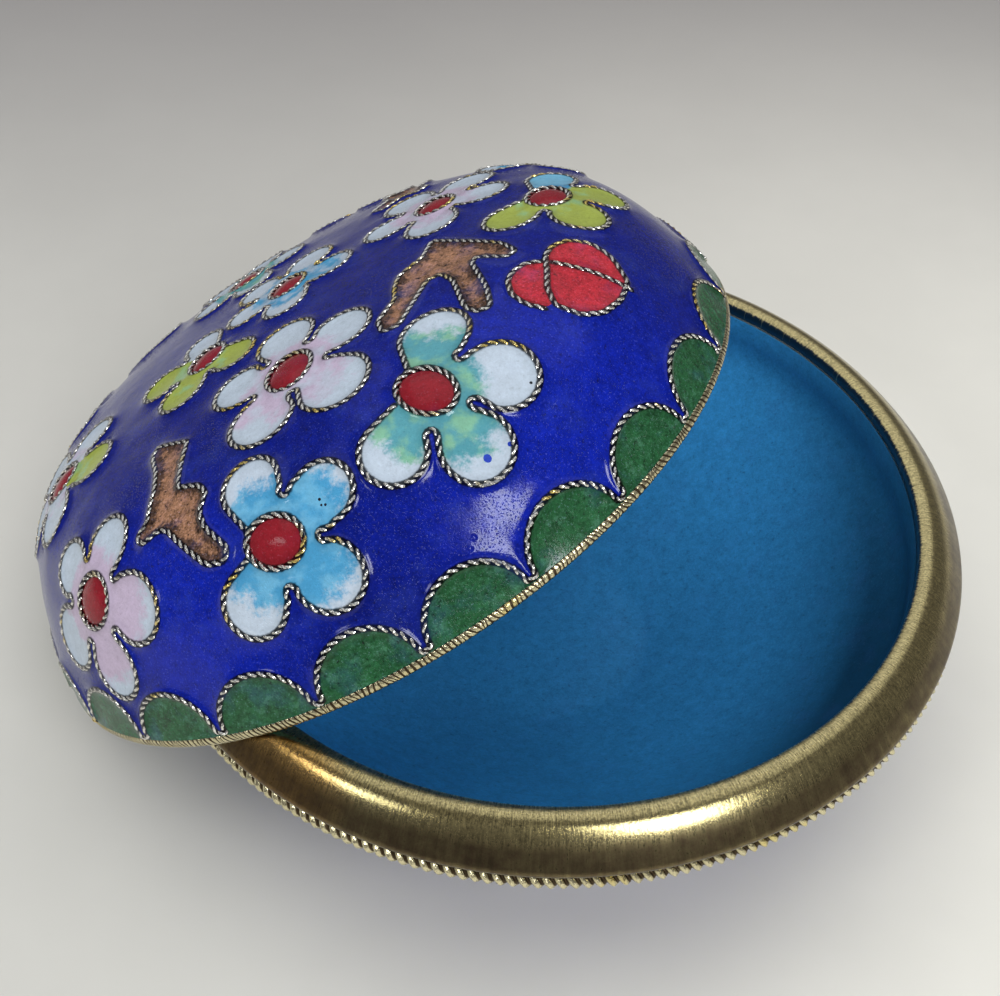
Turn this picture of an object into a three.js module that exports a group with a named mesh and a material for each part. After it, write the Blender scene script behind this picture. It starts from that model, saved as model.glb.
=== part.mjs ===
// A round cloisonne trinket box with its domed lid leaning on it.
// Millimetres, +Z up. The origin is the centre of the base's flat underside.

import * as THREE from 'three';

// Base: a bowl with a broad convex brass collar round its mouth
const BOX_RADIUS = 30;
const BASE_HEIGHT = 18.6;
const COLLAR_WIDTH = 3.5;
const COLLAR_DROP = 2.1;
const COLLAR_CROWN = 0.6;
const COLLAR_THICKNESS = 0.8;
const BOWL_FOOT_RADIUS = 8;
const BOWL_RADIUS = 28.9;
const BOWL_SHOULDER = 15.4;
const BOWL_WALL = 1.6;
const BOWL_FLOOR = 1.7;
const ROPE_HEIGHT = 1.05;
const ROPE_DEPTH = 0.55;

// Lid: a dome with a flattish top and rounded shoulders
const LID_RADIUS = 28.8;
const LID_HEIGHT = 15.15;
const LID_WALL = 1.15;
const CROWN_SHARE = 0.255;
const SHOULDER_POWER = 9.1;
const FLANK_POWER = 0.95;
const RIM_WIRE_HEIGHT = 0.7;
const RIM_WIRE_DEPTH = 0.6;

// How the lid leans: its rim on the collar at two points and on the table at one
const LEAN_TILT = THREE.MathUtils.degToRad(32.7);
const LEAN_TURN = THREE.MathUtils.degToRad(156.1);
const LEAN_CENTRE = [-12.36, 5.476, 15.555];

// Wires that part the colours, standing a little proud of the enamel
const WIRE_WIDTH = 0.5;
const WIRE_RISE = 0.3;
const WIRE_SEAT = 0.03;
const STRAND_SPACING = 0.72;
const NOTCH_REACH = 2.7;
const LOBE_SWEEP = THREE.MathUtils.degToRad(112);

const SCALLOP_COUNT = 24;
const SCALLOP_FOOT = 1.1;
const SCALLOP_HEIGHT = 3.2;
const SCALLOP_START = THREE.MathUtils.degToRad(84.5);

const ROUND_STEPS = 48;
const GAP = 0.06;

const COLOURS = {
  cobalt: 0x10178c,
  turquoise: 0x1f6ea8,
  brass: 0xb59a52,
  gilt: 0xcdb878,
};

// Each flower: its place on the lid (turn round it, arc from the top), its eye
// (long radius, short radius, turn) and its petals (bearing, reach, lobe radius).
// Bearings count from the outward direction. An open flower has no petal on one side.
const FLOWERS = {
  teal: { turn: 149.5, arc: 22.7, eye: [2.0, 1.6, 18], open: true,
    petals: [[293, 4.4, 2.1], [358, 4.8, 2.25], [61, 4.6, 2.35], [136, 4.6, 2.3]] },
  sky: { turn: 119, arc: 25.7, eye: [1.9, 1.6, 73], open: true,
    petals: [[315, 4.0, 2.1], [35, 3.9, 2.2], [112, 4.1, 1.95], [188, 4.1, 2.0]] },
  blush: { turn: 129.7, arc: 12.4, eye: [2.05, 1.7, 169],
    petals: [[31, 5.1, 2.5], [109, 4.3, 2.25], [177, 4.7, 2.2], [244, 4.0, 2.1], [325, 4.5, 2.4]] },
  rose: { turn: 82, arc: 26.1, eye: [1.9, 1.7, 126],
    petals: [[14, 4.5, 2.2], [85, 4.4, 2.3], [162, 3.8, 2.0], [237, 3.8, 1.9], [306, 4.4, 2.2]] },
  lime: { turn: 58, arc: 6.4, eye: [1.7, 1.5, 45], open: true,
    petals: [[257, 3.5, 1.6], [329, 3.9, 1.9], [38, 4.0, 1.9], [112, 3.5, 1.75]] },
  ice: { turn: 288, arc: 2.8, eye: [1.7, 1.5, 0],
    petals: [[277, 3.7, 1.8], [350, 4.0, 1.9], [61, 3.7, 1.8], [125, 3.7, 1.65], [196, 3.7, 1.8]] },
  violet: { turn: 233, arc: 13.8, eye: [1.7, 1.5, 60],
    petals: [[317, 4.1, 1.8], [29, 4.1, 2.0], [101, 4.1, 2.0], [173, 4.0, 1.8], [245, 4.3, 2.0]] },
  olive: { turn: 209, arc: 21.1, eye: [1.9, 1.5, 88], open: true,
    petals: [[226, 3.9, 1.9], [300, 4.0, 2.0], [12, 3.9, 1.9], [84, 3.9, 1.8]] },
  cream: { turn: 47, arc: 20.3, eye: [1.7, 1.6, 0],
    petals: [[357, 4.1, 1.9], [69, 4.1, 1.9], [141, 4.1, 1.9], [213, 4.1, 1.9], [285, 4.1, 1.9]] },
  frost: { turn: 246, arc: 25.3, eye: [1.7, 1.6, 0], open: true,
    petals: [[190, 3.9, 1.9], [262, 3.9, 1.9], [334, 3.9, 1.9], [46, 3.9, 1.9]] },
  shell: { turn: 290, arc: 24.6, eye: [1.7, 1.6, 0],
    petals: [[0, 4.1, 1.9], [72, 4.1, 1.9], [144, 4.1, 1.9], [216, 4.1, 1.9], [288, 4.1, 1.9]] },
  moss: { turn: 323, arc: 25.0, eye: [1.7, 1.6, 0], open: true,
    petals: [[252, 3.9, 1.9], [324, 3.9, 1.9], [36, 3.9, 1.9], [108, 3.9, 1.9]] },
  dusk: { turn: 15, arc: 25.2, eye: [1.7, 1.6, 0],
    petals: [[20, 4.0, 1.9], [92, 4.0, 1.9], [164, 4.0, 1.9], [236, 4.0, 1.9], [308, 4.0, 1.9]] },
  plum: { turn: 322, arc: 13.5, eye: [1.7, 1.6, 0],
    petals: [[324, 3.7, 1.75], [36, 3.7, 1.75], [108, 3.7, 1.75], [180, 3.7, 1.75], [252, 3.7, 1.75]] },
};

// Outlines drawn flat about a place: x points down the lid, y round it
const BRANCHES = {
  upper: { turn: 180, arc: 14.8, outline: [
    [-2.6, 4.2], [-2.1, 1.9], [-2.9, -0.2], [-2.4, -1.7], [-1.5, -3.2], [-1.6, -5.5], [-0.5, -6.8],
    [0.5, -6.2], [0.3, -3.4], [0.1, -1.3], [0.9, -0.7], [2.3, -1.6], [4.5, -4.4], [5.5, -4.8],
    [6.2, -4.1], [5.1, -2.3], [2.7, 0.4], [2.7, 1.1], [5.0, 1.1], [5.3, 1.9], [3.8, 2.8], [0.4, 3.5]] },
  lower: { turn: 103, arc: 20.6, outline: [
    [-5.5, -1.4], [-4.0, -1.2], [-1.2, -0.7], [-0.8, 1.2], [0.0, 2.0], [1.2, 1.6], [2.4, 2.1],
    [4.0, 3.7], [4.8, 3.3], [4.7, 2.0], [3.2, 0.4], [1.7, -1.1], [1.6, -1.8], [2.1, -3.2],
    [1.5, -3.8], [0.7, -2.9], [-1.7, -2.9], [-3.4, -3.4], [-5.2, -4.5], [-6.2, -4.4]] },
  rear: { turn: 267, arc: 17.8, outline: [
    [-4.2, -0.8], [-4.0, 0.7], [-1.6, 0.8], [-0.8, 2.2], [0.4, 2.4], [0.6, 1.0], [2.2, 1.4],
    [4.0, 3.0], [4.8, 2.2], [3.6, 0.4], [1.9, -0.6], [0.4, -1.0], [-0.4, -2.6], [-1.6, -2.5], [-1.8, -0.9]] },
};

const BUDS = {
  front: { turn: 181, arc: 24.6, outline: [
    [-2.4, 1.4], [-2.4, 2.6], [-1.8, 3.7], [-0.3, 4.3], [1.3, 3.9], [3.1, 2.5], [3.3, 0.6],
    [2.8, -1.3], [1.7, -2.5], [0.0, -2.8], [-1.0, -1.7], [-1.7, 0.0]],
    calyx: [[-2.9, 0.7], [-3.7, -0.3], [-3.6, -1.7], [-2.8, -3.1], [-1.6, -3.6], [-0.5, -3.6]],
    divider: [[-1.6, 1.0], [-0.2, 1.2], [1.3, 1.6], [2.4, 1.8]] },
  rear: { turn: 350, arc: 21.6, outline: [
    [-2.4, 0.0], [-1.9, 1.7], [-0.4, 2.6], [1.3, 2.3], [2.6, 1.0], [2.8, -0.6], [1.8, -2.1],
    [0.1, -2.6], [-1.6, -1.8]],
    calyx: [[-3.1, 0.4], [-3.8, -0.8], [-3.6, -2.0], [-2.6, -2.9], [-1.6, -2.8]],
    divider: [[-1.7, 0.0], [-0.4, 0.6], [1.0, 0.7], [2.0, 0.3]] },
};

// Height of the lid's outside above its rim plane at a radius
function domeHeight(radius) {
  const ratio = Math.min(radius / LID_RADIUS, 1);
  const fall = CROWN_SHARE * ratio ** 2 + (1 - CROWN_SHARE) * ratio ** SHOULDER_POWER;
  return LID_HEIGHT * Math.max(1 - fall, 0) ** FLANK_POWER;
}

// Outward normal of the lid's outside above a point of its rim plane
function domeNormal(point) {
  const radius = Math.hypot(point.x, point.y);
  const step = 0.001;
  const inner = Math.min(radius, LID_RADIUS - 2 * step);
  const slope = (domeHeight(inner + step) - domeHeight(Math.max(inner - step, 0))) / (2 * step);
  const away = radius > 0 ? -slope / radius : 0;
  return new THREE.Vector3(away * point.x, away * point.y, 1).normalize();
}

// Radii of the lid's outside at even arc lengths from the top, for finding a place by its arc
const ARC_TABLE = [];
for (let i = 0, arc = 0, last = null; i <= 2000; i++) {
  const radius = LID_RADIUS * Math.sin((i / 2000) * Math.PI / 2);
  const here = new THREE.Vector2(radius, domeHeight(radius));
  arc += last ? here.distanceTo(last) : 0;
  ARC_TABLE.push({ arc, radius });
  last = here;
}
const LID_ARC = ARC_TABLE.at(-1).arc;

function radiusAtArc(arc) {
  const above = Math.max(ARC_TABLE.findIndex((entry) => entry.arc >= arc), 1);
  const [low, high] = [ARC_TABLE[above - 1], ARC_TABLE[above]];
  const share = (arc - low.arc) / (high.arc - low.arc);
  return low.radius + share * (high.radius - low.radius);
}

function pointOnDome(turn, arc) {
  const radius = radiusAtArc(arc);
  return new THREE.Vector3(radius * Math.cos(turn), radius * Math.sin(turn), domeHeight(radius));
}

// Walks along the dome from a point, straight ahead, for a length
function walkDome(start, heading, length) {
  const strides = Math.max(Math.ceil(length / 0.4), 1);
  const point = start.clone();
  const ahead = heading.clone();
  for (let i = 0; i < strides; i++) {
    point.addScaledVector(ahead, length / strides);
    for (let pass = 0; pass < 2; pass++) {
      const normal = domeNormal(point);
      const off = (point.z - domeHeight(Math.hypot(point.x, point.y))) * normal.z;
      point.addScaledVector(normal, -off);
    }
    const normal = domeNormal(point);
    ahead.addScaledVector(normal, -ahead.dot(normal)).normalize();
  }
  return point;
}

// Lays a flat drawing on the dome about a place
function layOnDome({ turn, arc }, drawing) {
  const angle = THREE.MathUtils.degToRad(turn);
  const centre = pointOnDome(angle, arc);
  const round = new THREE.Vector3(-Math.sin(angle), Math.cos(angle), 0);
  const outward = round.clone().cross(domeNormal(centre)).normalize();
  return drawing.map(([x, y]) => {
    const length = Math.hypot(x, y);
    const heading = outward.clone().multiplyScalar(x / length).addScaledVector(round, y / length);
    const point = walkDome(centre, heading, length);
    return { point, normal: domeNormal(point) };
  });
}

function polar(bearing, reach) {
  return [reach * Math.cos(bearing), reach * Math.sin(bearing)];
}

// One petal's lobe, from one side of its neck round to the other
function petalLobe([degrees, reach, lobe], steps) {
  const bearing = THREE.MathUtils.degToRad(degrees);
  const [x, y] = polar(bearing, reach);
  return Array.from({ length: steps + 1 }, (_, i) => {
    const swing = bearing + (2 * i / steps - 1) * LOBE_SWEEP;
    return [x + lobe * Math.cos(swing), y + lobe * Math.sin(swing)];
  });
}

// The tight bend of the wire between two petals
function petalNotch(before, after) {
  const gap = ((after - before) % 360 + 360) % 360;
  const bearing = THREE.MathUtils.degToRad(before + gap / 2);
  const [x, y] = polar(bearing, NOTCH_REACH);
  const half = STRAND_SPACING / 2;
  return [
    [x + half * Math.sin(bearing), y - half * Math.cos(bearing)],
    [x - half * Math.sin(bearing), y + half * Math.cos(bearing)],
  ];
}

function flowerOutline({ petals, open }) {
  return petals.flatMap((petal, i) => {
    const last = i === petals.length - 1;
    const next = petals[(i + 1) % petals.length];
    const bend = open && last ? [] : petalNotch(petal[0], next[0]);
    return [...petalLobe(petal, 5), ...bend];
  });
}

function eyeRing([long, short, turn], steps) {
  const tilt = THREE.MathUtils.degToRad(turn);
  return Array.from({ length: steps }, (_, i) => {
    const angle = (i / steps) * 2 * Math.PI;
    const [x, y] = [long * Math.cos(angle), short * Math.sin(angle)];
    return [x * Math.cos(tilt) - y * Math.sin(tilt), x * Math.sin(tilt) + y * Math.cos(tilt)];
  });
}

// A closed or open wire of a roof-shaped section, swept along a path on a surface
function wireGeometry(path, closed) {
  const count = path.length;
  const positions = [];
  path.forEach(({ point, normal }, i) => {
    const before = path[closed ? (i + count - 1) % count : Math.max(i - 1, 0)].point;
    const after = path[closed ? (i + 1) % count : Math.min(i + 1, count - 1)].point;
    const into = point.clone().sub(before).normalize();
    const onward = after.clone().sub(point).normalize();
    const along = into.clone().add(onward).normalize();
    const side = along.clone().cross(normal).normalize();
    const corner = Math.max(along.dot(into.lengthSq() > 0 ? into : onward), 0.7);
    const half = WIRE_WIDTH / 2 / corner;
    const foot = point.clone().addScaledVector(normal, WIRE_SEAT);
    const corners = [
      foot.clone().addScaledVector(side, -half),
      foot.clone().addScaledVector(side, half),
      foot.clone().addScaledVector(normal, WIRE_RISE),
    ];
    corners.forEach((vertex) => positions.push(...vertex.toArray()));
  });
  const index = [];
  for (let i = 0; i < (closed ? count : count - 1); i++) {
    const [here, next] = [3 * i, 3 * ((i + 1) % count)];
    for (let k = 0; k < 3; k++) {
      const other = (k + 1) % 3;
      index.push(here + k, next + other, here + other, here + k, next + k, next + other);
    }
  }
  if (!closed) {
    const end = 3 * (count - 1);
    index.push(0, 1, 2, end, end + 2, end + 1);
  }
  const geometry = new THREE.BufferGeometry();
  geometry.setAttribute('position', new THREE.Float32BufferAttribute(positions, 3));
  geometry.setIndex(index);
  geometry.computeVertexNormals();
  return geometry;
}

// A closed ring turned about +Z from a profile of [radius, height] points
function turnedGeometry(profile) {
  const points = [...profile, profile[0]].map(([radius, height]) => new THREE.Vector2(radius, height));
  return new THREE.LatheGeometry(points, ROUND_STEPS).rotateX(Math.PI / 2);
}

function named(name, geometry, colour, roughness, metalness) {
  const material = new THREE.MeshStandardMaterial({ color: colour, roughness, metalness });
  const mesh = new THREE.Mesh(geometry, material);
  mesh.name = name;
  return mesh;
}

const wireMesh = (name, path, closed = true) =>
  named(name, wireGeometry(path, closed), COLOURS.gilt, 0.35, 1);

// The lid's shell, its outside from the top to the rim wire and its inside back to the top
function lidShell() {
  const outside = [0, 0.3, 0.52, 0.68, 0.79, 0.87, 0.93, 0.97, 0.994].map(
    (ratio) => [ratio * LID_RADIUS, domeHeight(ratio * LID_RADIUS)]);
  const ledge = LID_RADIUS - RIM_WIRE_DEPTH - GAP;
  const innerRadius = LID_RADIUS - LID_WALL;
  const shrink = innerRadius / LID_RADIUS;
  const inside = [0.985, 0.92, 0.8, 0.5, 0].map(
    (ratio) => [ratio * innerRadius, domeHeight(ratio * LID_RADIUS) * shrink - LID_WALL * 0.45]);
  const profile = [
    ...outside,
    [ledge, RIM_WIRE_HEIGHT + GAP],
    [ledge, 0],
    [innerRadius, 0],
    ...inside,
  ];
  const points = profile.map(([radius, height]) => new THREE.Vector2(radius, height));
  return new THREE.LatheGeometry(points.reverse(), ROUND_STEPS).rotateX(Math.PI / 2);
}

function lidRimWire() {
  return turnedGeometry([
    [LID_RADIUS - RIM_WIRE_DEPTH, 0],
    [LID_RADIUS - 0.05, 0],
    [LID_RADIUS, RIM_WIRE_HEIGHT],
    [LID_RADIUS - RIM_WIRE_DEPTH, RIM_WIRE_HEIGHT],
  ]);
}

// A row of scallops laid by a function that gives a point for a turn and a height
function scallopPath(steps, place) {
  const pitch = (2 * Math.PI) / SCALLOP_COUNT;
  const inset = STRAND_SPACING / 2 / LID_RADIUS;
  const path = [];
  for (let i = 0; i < SCALLOP_COUNT; i++) {
    for (let k = 0; k <= steps; k++) {
      const swing = Math.PI * k / steps;
      const share = 0.5 - 0.5 * Math.cos(swing);
      const turn = SCALLOP_START + i * pitch + inset + share * (pitch - 2 * inset);
      path.push(place(turn, SCALLOP_HEIGHT * Math.sin(swing)));
    }
  }
  return path;
}

const onLid = (turn, height) => {
  const point = pointOnDome(turn, LID_ARC - SCALLOP_FOOT - height);
  return { point, normal: domeNormal(point) };
};

// The bowl is part of a ball: its centre is found from the foot and the shoulder
const BALL_CENTRE = (BOWL_RADIUS ** 2 + BOWL_SHOULDER ** 2 - BOWL_FOOT_RADIUS ** 2) / (2 * BOWL_SHOULDER);
const BALL_RADIUS = Math.hypot(BOWL_FOOT_RADIUS, BALL_CENTRE);

// Radius of the bowl's outside, or of its inside a wall's thickness in, at a height
function bowlRadius(height, inset = 0) {
  return Math.sqrt((BALL_RADIUS - inset) ** 2 - (BALL_CENTRE - height) ** 2);
}

const onBowl = (turn, height) => {
  const lift = Math.asin((BALL_CENTRE - BOWL_SHOULDER) / BALL_RADIUS);
  const fall = lift + (ROPE_HEIGHT / 2 + SCALLOP_FOOT + height) / BALL_RADIUS;
  const out = new THREE.Vector3(Math.cos(turn), Math.sin(turn), 0).multiplyScalar(Math.cos(fall));
  const normal = out.setZ(-Math.sin(fall));
  const point = normal.clone().multiplyScalar(BALL_RADIUS).setZ(BALL_CENTRE - BALL_RADIUS * Math.sin(fall));
  return { point, normal };
};

// The collar's upper face: it bulges between the lip and the outer edge
function collarTop(share) {
  const bulge = COLLAR_CROWN * Math.sin(Math.PI * share ** 0.8);
  return [BOX_RADIUS - COLLAR_WIDTH * (1 - share), BASE_HEIGHT - COLLAR_DROP * share ** 1.5 + bulge];
}

function collar() {
  const top = [0, 0.2, 0.5, 0.8, 1].map(collarTop);
  const under = [
    [BOX_RADIUS - 0.15, BASE_HEIGHT - COLLAR_DROP - 0.35],
    [BOX_RADIUS - COLLAR_WIDTH + 0.1, BASE_HEIGHT - COLLAR_THICKNESS],
  ];
  return turnedGeometry([...top, ...under].reverse());
}

// The bowl's solid: a ball-shaped outside on a flat foot, a flange under the collar, and a hollow inside
function baseBowl() {
  const mouth = BOX_RADIUS - COLLAR_WIDTH - 0.1;
  const outside = [0, 0.13, 0.35, 0.65, 1].map(
    (share) => [bowlRadius(BOWL_SHOULDER * share), BOWL_SHOULDER * share]);
  const neck = BALL_CENTRE - Math.sqrt((BALL_RADIUS - BOWL_WALL) ** 2 - mouth ** 2);
  const inside = [1, 0.7, 0.4, 0.15, 0].map((share) => {
    const level = BOWL_FLOOR + (neck - BOWL_FLOOR) * share;
    return [bowlRadius(level, BOWL_WALL), level];
  });
  const profile = [
    [0, 0],
    ...outside,
    [BOWL_RADIUS, BOWL_SHOULDER + 0.6],
    [mouth, BASE_HEIGHT - COLLAR_THICKNESS - GAP],
    ...inside,
    [0, BOWL_FLOOR],
  ];
  const points = profile.map(([radius, height]) => new THREE.Vector2(radius, height));
  return new THREE.LatheGeometry(points, ROUND_STEPS).rotateX(Math.PI / 2);
}

function baseRimWire() {
  const low = BOWL_SHOULDER - ROPE_HEIGHT / 2;
  return turnedGeometry([
    [BOWL_RADIUS + GAP, low],
    [BOWL_RADIUS + ROPE_DEPTH, low + 0.15],
    [BOWL_RADIUS + ROPE_DEPTH, low + ROPE_HEIGHT - 0.15],
    [BOWL_RADIUS + GAP, low + ROPE_HEIGHT],
  ]);
}

function buildBase() {
  const base = new THREE.Group();
  base.add(
    named('base_bowl', baseBowl(), COLOURS.turquoise, 0.25, 0),
    named('collar', collar(), COLOURS.brass, 0.35, 1),
    named('base_rim_wire', baseRimWire(), COLOURS.gilt, 0.35, 1),
    wireMesh('base_scallop_wire', scallopPath(4, onBowl)),
  );
  return base;
}

function buildLid() {
  const lid = new THREE.Group();
  lid.rotation.set(0, LEAN_TILT, LEAN_TURN, 'ZYX');
  lid.position.set(...LEAN_CENTRE);
  lid.add(
    named('lid_shell', lidShell(), COLOURS.cobalt, 0.15, 0),
    named('lid_rim_wire', lidRimWire(), COLOURS.gilt, 0.35, 1),
    wireMesh('lid_scallop_wire', scallopPath(5, onLid)),
  );
  for (const [name, flower] of Object.entries(FLOWERS)) {
    lid.add(wireMesh(`${name}_flower_wire`, layOnDome(flower, flowerOutline(flower)), !flower.open));
    lid.add(wireMesh(`${name}_eye_wire`, layOnDome(flower, eyeRing(flower.eye, 8))));
  }
  for (const [name, branch] of Object.entries(BRANCHES)) {
    lid.add(wireMesh(`${name}_branch_wire`, layOnDome(branch, branch.outline)));
  }
  for (const [name, bud] of Object.entries(BUDS)) {
    lid.add(wireMesh(`${name}_bud_wire`, layOnDome(bud, bud.outline)));
    lid.add(wireMesh(`${name}_calyx_wire`, layOnDome(bud, bud.calyx), false));
    lid.add(wireMesh(`${name}_bud_divider_wire`, layOnDome(bud, bud.divider), false));
  }
  return lid;
}

const box = new THREE.Group();
box.add(buildBase(), buildLid());

export default box;
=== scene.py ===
import math

import bpy
import numpy as np
from bpy.props import FloatProperty, FloatVectorProperty, PointerProperty
from mathutils import Matrix, Vector, noise
from mathutils.geometry import delaunay_2d_cdt
from mathutils.kdtree import KDTree


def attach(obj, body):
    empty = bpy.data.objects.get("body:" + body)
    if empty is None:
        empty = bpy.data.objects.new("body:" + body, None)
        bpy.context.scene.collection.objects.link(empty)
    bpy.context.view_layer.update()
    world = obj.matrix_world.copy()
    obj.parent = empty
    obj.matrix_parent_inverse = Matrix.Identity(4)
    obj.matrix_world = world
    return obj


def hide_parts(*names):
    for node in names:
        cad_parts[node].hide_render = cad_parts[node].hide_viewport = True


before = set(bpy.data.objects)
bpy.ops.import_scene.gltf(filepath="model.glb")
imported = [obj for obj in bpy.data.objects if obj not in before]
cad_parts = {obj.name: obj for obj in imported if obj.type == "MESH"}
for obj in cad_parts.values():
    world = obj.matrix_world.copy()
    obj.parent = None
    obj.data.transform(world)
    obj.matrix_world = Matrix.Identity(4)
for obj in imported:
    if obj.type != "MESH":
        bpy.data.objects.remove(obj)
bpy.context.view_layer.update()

bl_info = {
    "name": "Cloisonne trinket box",
    "version": (1, 0, 0),
    "blender": (4, 5, 0),
    "location": "3D View > Sidebar > Trinket box",
    "description": "Dresses a round enamelled box: glass colours, twisted wires, brass collar and stage",
    "category": "Add Mesh",
}

# Sizes are in millimetres and become metres when a mesh is placed
MM = 0.001

# Lid: a dome with a flattish top and rounded shoulders
LID_RADIUS = 28.8
LID_HEIGHT = 15.15
LID_WALL = 1.15
CROWN_SHARE = 0.255
SHOULDER_POWER = 9.1
FLANK_POWER = 0.95
RIM_WIRE_HEIGHT = 0.7
RIM_WIRE_DEPTH = 0.6
RIM_GAP = 0.06
LID_BEVEL = 0.12
LINING_RINGS = 26
LINING_DROP = 0.45 * LID_WALL

# Base: a ball-shaped bowl under a broad convex collar
BOX_RADIUS = 30.0
BASE_HEIGHT = 18.6
COLLAR_WIDTH = 3.5
COLLAR_DROP = 2.1
COLLAR_CROWN = 0.6
COLLAR_THICKNESS = 0.8
BOWL_FOOT_RADIUS = 8.0
BOWL_RADIUS = 28.9
BOWL_SHOULDER = 15.4
BOWL_WALL = 1.6
BOWL_FLOOR = 1.7
ROPE_HEIGHT = 1.05

# Wires and the places where they turn back on themselves between two petals
STRAND_SPACING = 0.66
NOTCH_REACH = 2.7
NOTCH_BULB = 0.38
NOTCH_BULB_SWEEP = (75, 285)
NOTCH_NECK = 2.2
LOBE_SWEEP = math.radians(112)
OPEN_END_SWING = 38
OPEN_END_CLEARANCE = 0.3
PATH_STEP = 0.1
SCALLOP_COUNT = 24
SCALLOP_FOOT = 1.1
LID_SCALLOP_FOOT = 1.02
SCALLOP_HEIGHT = 3.2
SCALLOP_START = math.radians(84.5)

# Camera, found from the collar's two circles and the lid's rim in the photograph
CAMERA_LENS = 50.33
CAMERA_SENSOR = 36.0
CAMERA_ELEVATION = math.radians(46.32)
CAMERA_ROLL = math.radians(0.67)
CAMERA_DISTANCE = 101.6
CAMERA_TARGET = (-3.61, -0.96, BASE_HEIGHT)

# Each flower: turn and arc of its place, its eye (long, short, turn), whether one side is
# open, the glass laid in it (inner, outer, flecks) and its petals (bearing, reach, lobe)
FLOWERS = {
    "teal": (149.5, 22.7, (2.0, 1.6, 18), True, ("teal", "white", "leaf_light"),
             [(293, 4.4, 2.1), (358, 4.8, 2.25), (61, 4.6, 2.35), (136, 4.6, 2.3)]),
    "sky": (119, 25.7, (1.9, 1.6, 73), True, ("sky", "white", "ice"),
            [(315, 4.0, 2.1), (35, 3.9, 2.2), (112, 4.1, 1.95), (188, 4.1, 2.0)]),
    "blush": (129.7, 12.4, (2.05, 1.7, 169), False, ("pink", "white", "white"),
              [(31, 5.1, 2.5), (109, 4.3, 2.25), (177, 4.7, 2.2), (244, 4.0, 2.1), (325, 4.5, 2.4)]),
    "rose": (82, 26.1, (1.9, 1.7, 126), False, ("pink", "white", "pink"),
             [(14, 4.5, 2.2), (85, 4.4, 2.3), (162, 3.8, 2.0), (237, 3.8, 1.9), (306, 4.4, 2.2)]),
    "lime": (58, 6.4, (1.7, 1.5, 45), True, ("lime", "lime", "leaf_light"),
             [(257, 3.5, 1.6), (329, 3.9, 1.9), (38, 4.0, 1.9), (112, 3.5, 1.75)]),
    "ice": (288, 2.8, (1.7, 1.5, 0), False, ("sky", "white", "white"),
            [(277, 3.7, 1.8), (350, 4.0, 1.9), (61, 3.7, 1.8), (125, 3.7, 1.65), (196, 3.7, 1.8)]),
    "violet": (233, 13.8, (1.7, 1.5, 60), False, ("pink", "white", "white"),
               [(317, 4.1, 1.8), (29, 4.1, 2.0), (101, 4.1, 2.0), (173, 4.0, 1.8), (245, 4.3, 2.0)]),
    "olive": (209, 21.1, (1.9, 1.5, 88), True, ("lime", "lime", "leaf_light"),
              [(226, 3.9, 1.9), (300, 4.0, 2.0), (12, 3.9, 1.9), (84, 3.9, 1.8)]),
    "cream": (47, 20.3, (1.7, 1.6, 0), False, ("white", "white", "pink"),
              [(357, 4.1, 1.9), (69, 4.1, 1.9), (141, 4.1, 1.9), (213, 4.1, 1.9), (285, 4.1, 1.9)]),
    "frost": (246, 25.3, (1.7, 1.6, 0), True, ("sky", "white", "ice"),
              [(190, 3.9, 1.9), (262, 3.9, 1.9), (334, 3.9, 1.9), (46, 3.9, 1.9)]),
    "shell": (290, 24.6, (1.7, 1.6, 0), False, ("pink", "white", "white"),
              [(0, 4.1, 1.9), (72, 4.1, 1.9), (144, 4.1, 1.9), (216, 4.1, 1.9), (288, 4.1, 1.9)]),
    "moss": (323, 25.0, (1.7, 1.6, 0), True, ("lime", "lime", "leaf_light"),
             [(252, 3.9, 1.9), (324, 3.9, 1.9), (36, 3.9, 1.9), (108, 3.9, 1.9)]),
    "dusk": (15, 25.2, (1.7, 1.6, 0), False, ("pink", "white", "white"),
             [(20, 4.0, 1.9), (92, 4.0, 1.9), (164, 4.0, 1.9), (236, 4.0, 1.9), (308, 4.0, 1.9)]),
    "plum": (322, 13.5, (1.7, 1.6, 0), False, ("teal", "white", "leaf_light"),
             [(324, 3.7, 1.75), (36, 3.7, 1.75), (108, 3.7, 1.75), (180, 3.7, 1.75), (252, 3.7, 1.75)]),
}

# Petals whose glass differs from the rest of their flower: (flower, bearing) to (inner, outer, flecks)
ODD_PETALS = {
    ("lime", 257): ("white", "white", "lime"),
    ("olive", 84): ("sky", "ice", "ice"),
    ("cream", 141): ("lime", "lime", "leaf_light"),
}

# How far a petal's inner glass falls short of, or runs past, its usual border
PETAL_REACH = {
    ("sky", 35): 0.7, ("sky", 112): 0.66, ("sky", 188): 0.84, ("sky", 315): 0.86,
    ("teal", 136): 0.78, ("teal", 293): 0.84, ("teal", 358): 0.82, ("teal", 61): 1.12,
    ("blush", 325): 0.8, ("blush", 31): 0.8, ("rose", 85): 0.75, ("rose", 14): 0.7, ("ice", 277): 0.7,
}

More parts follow.
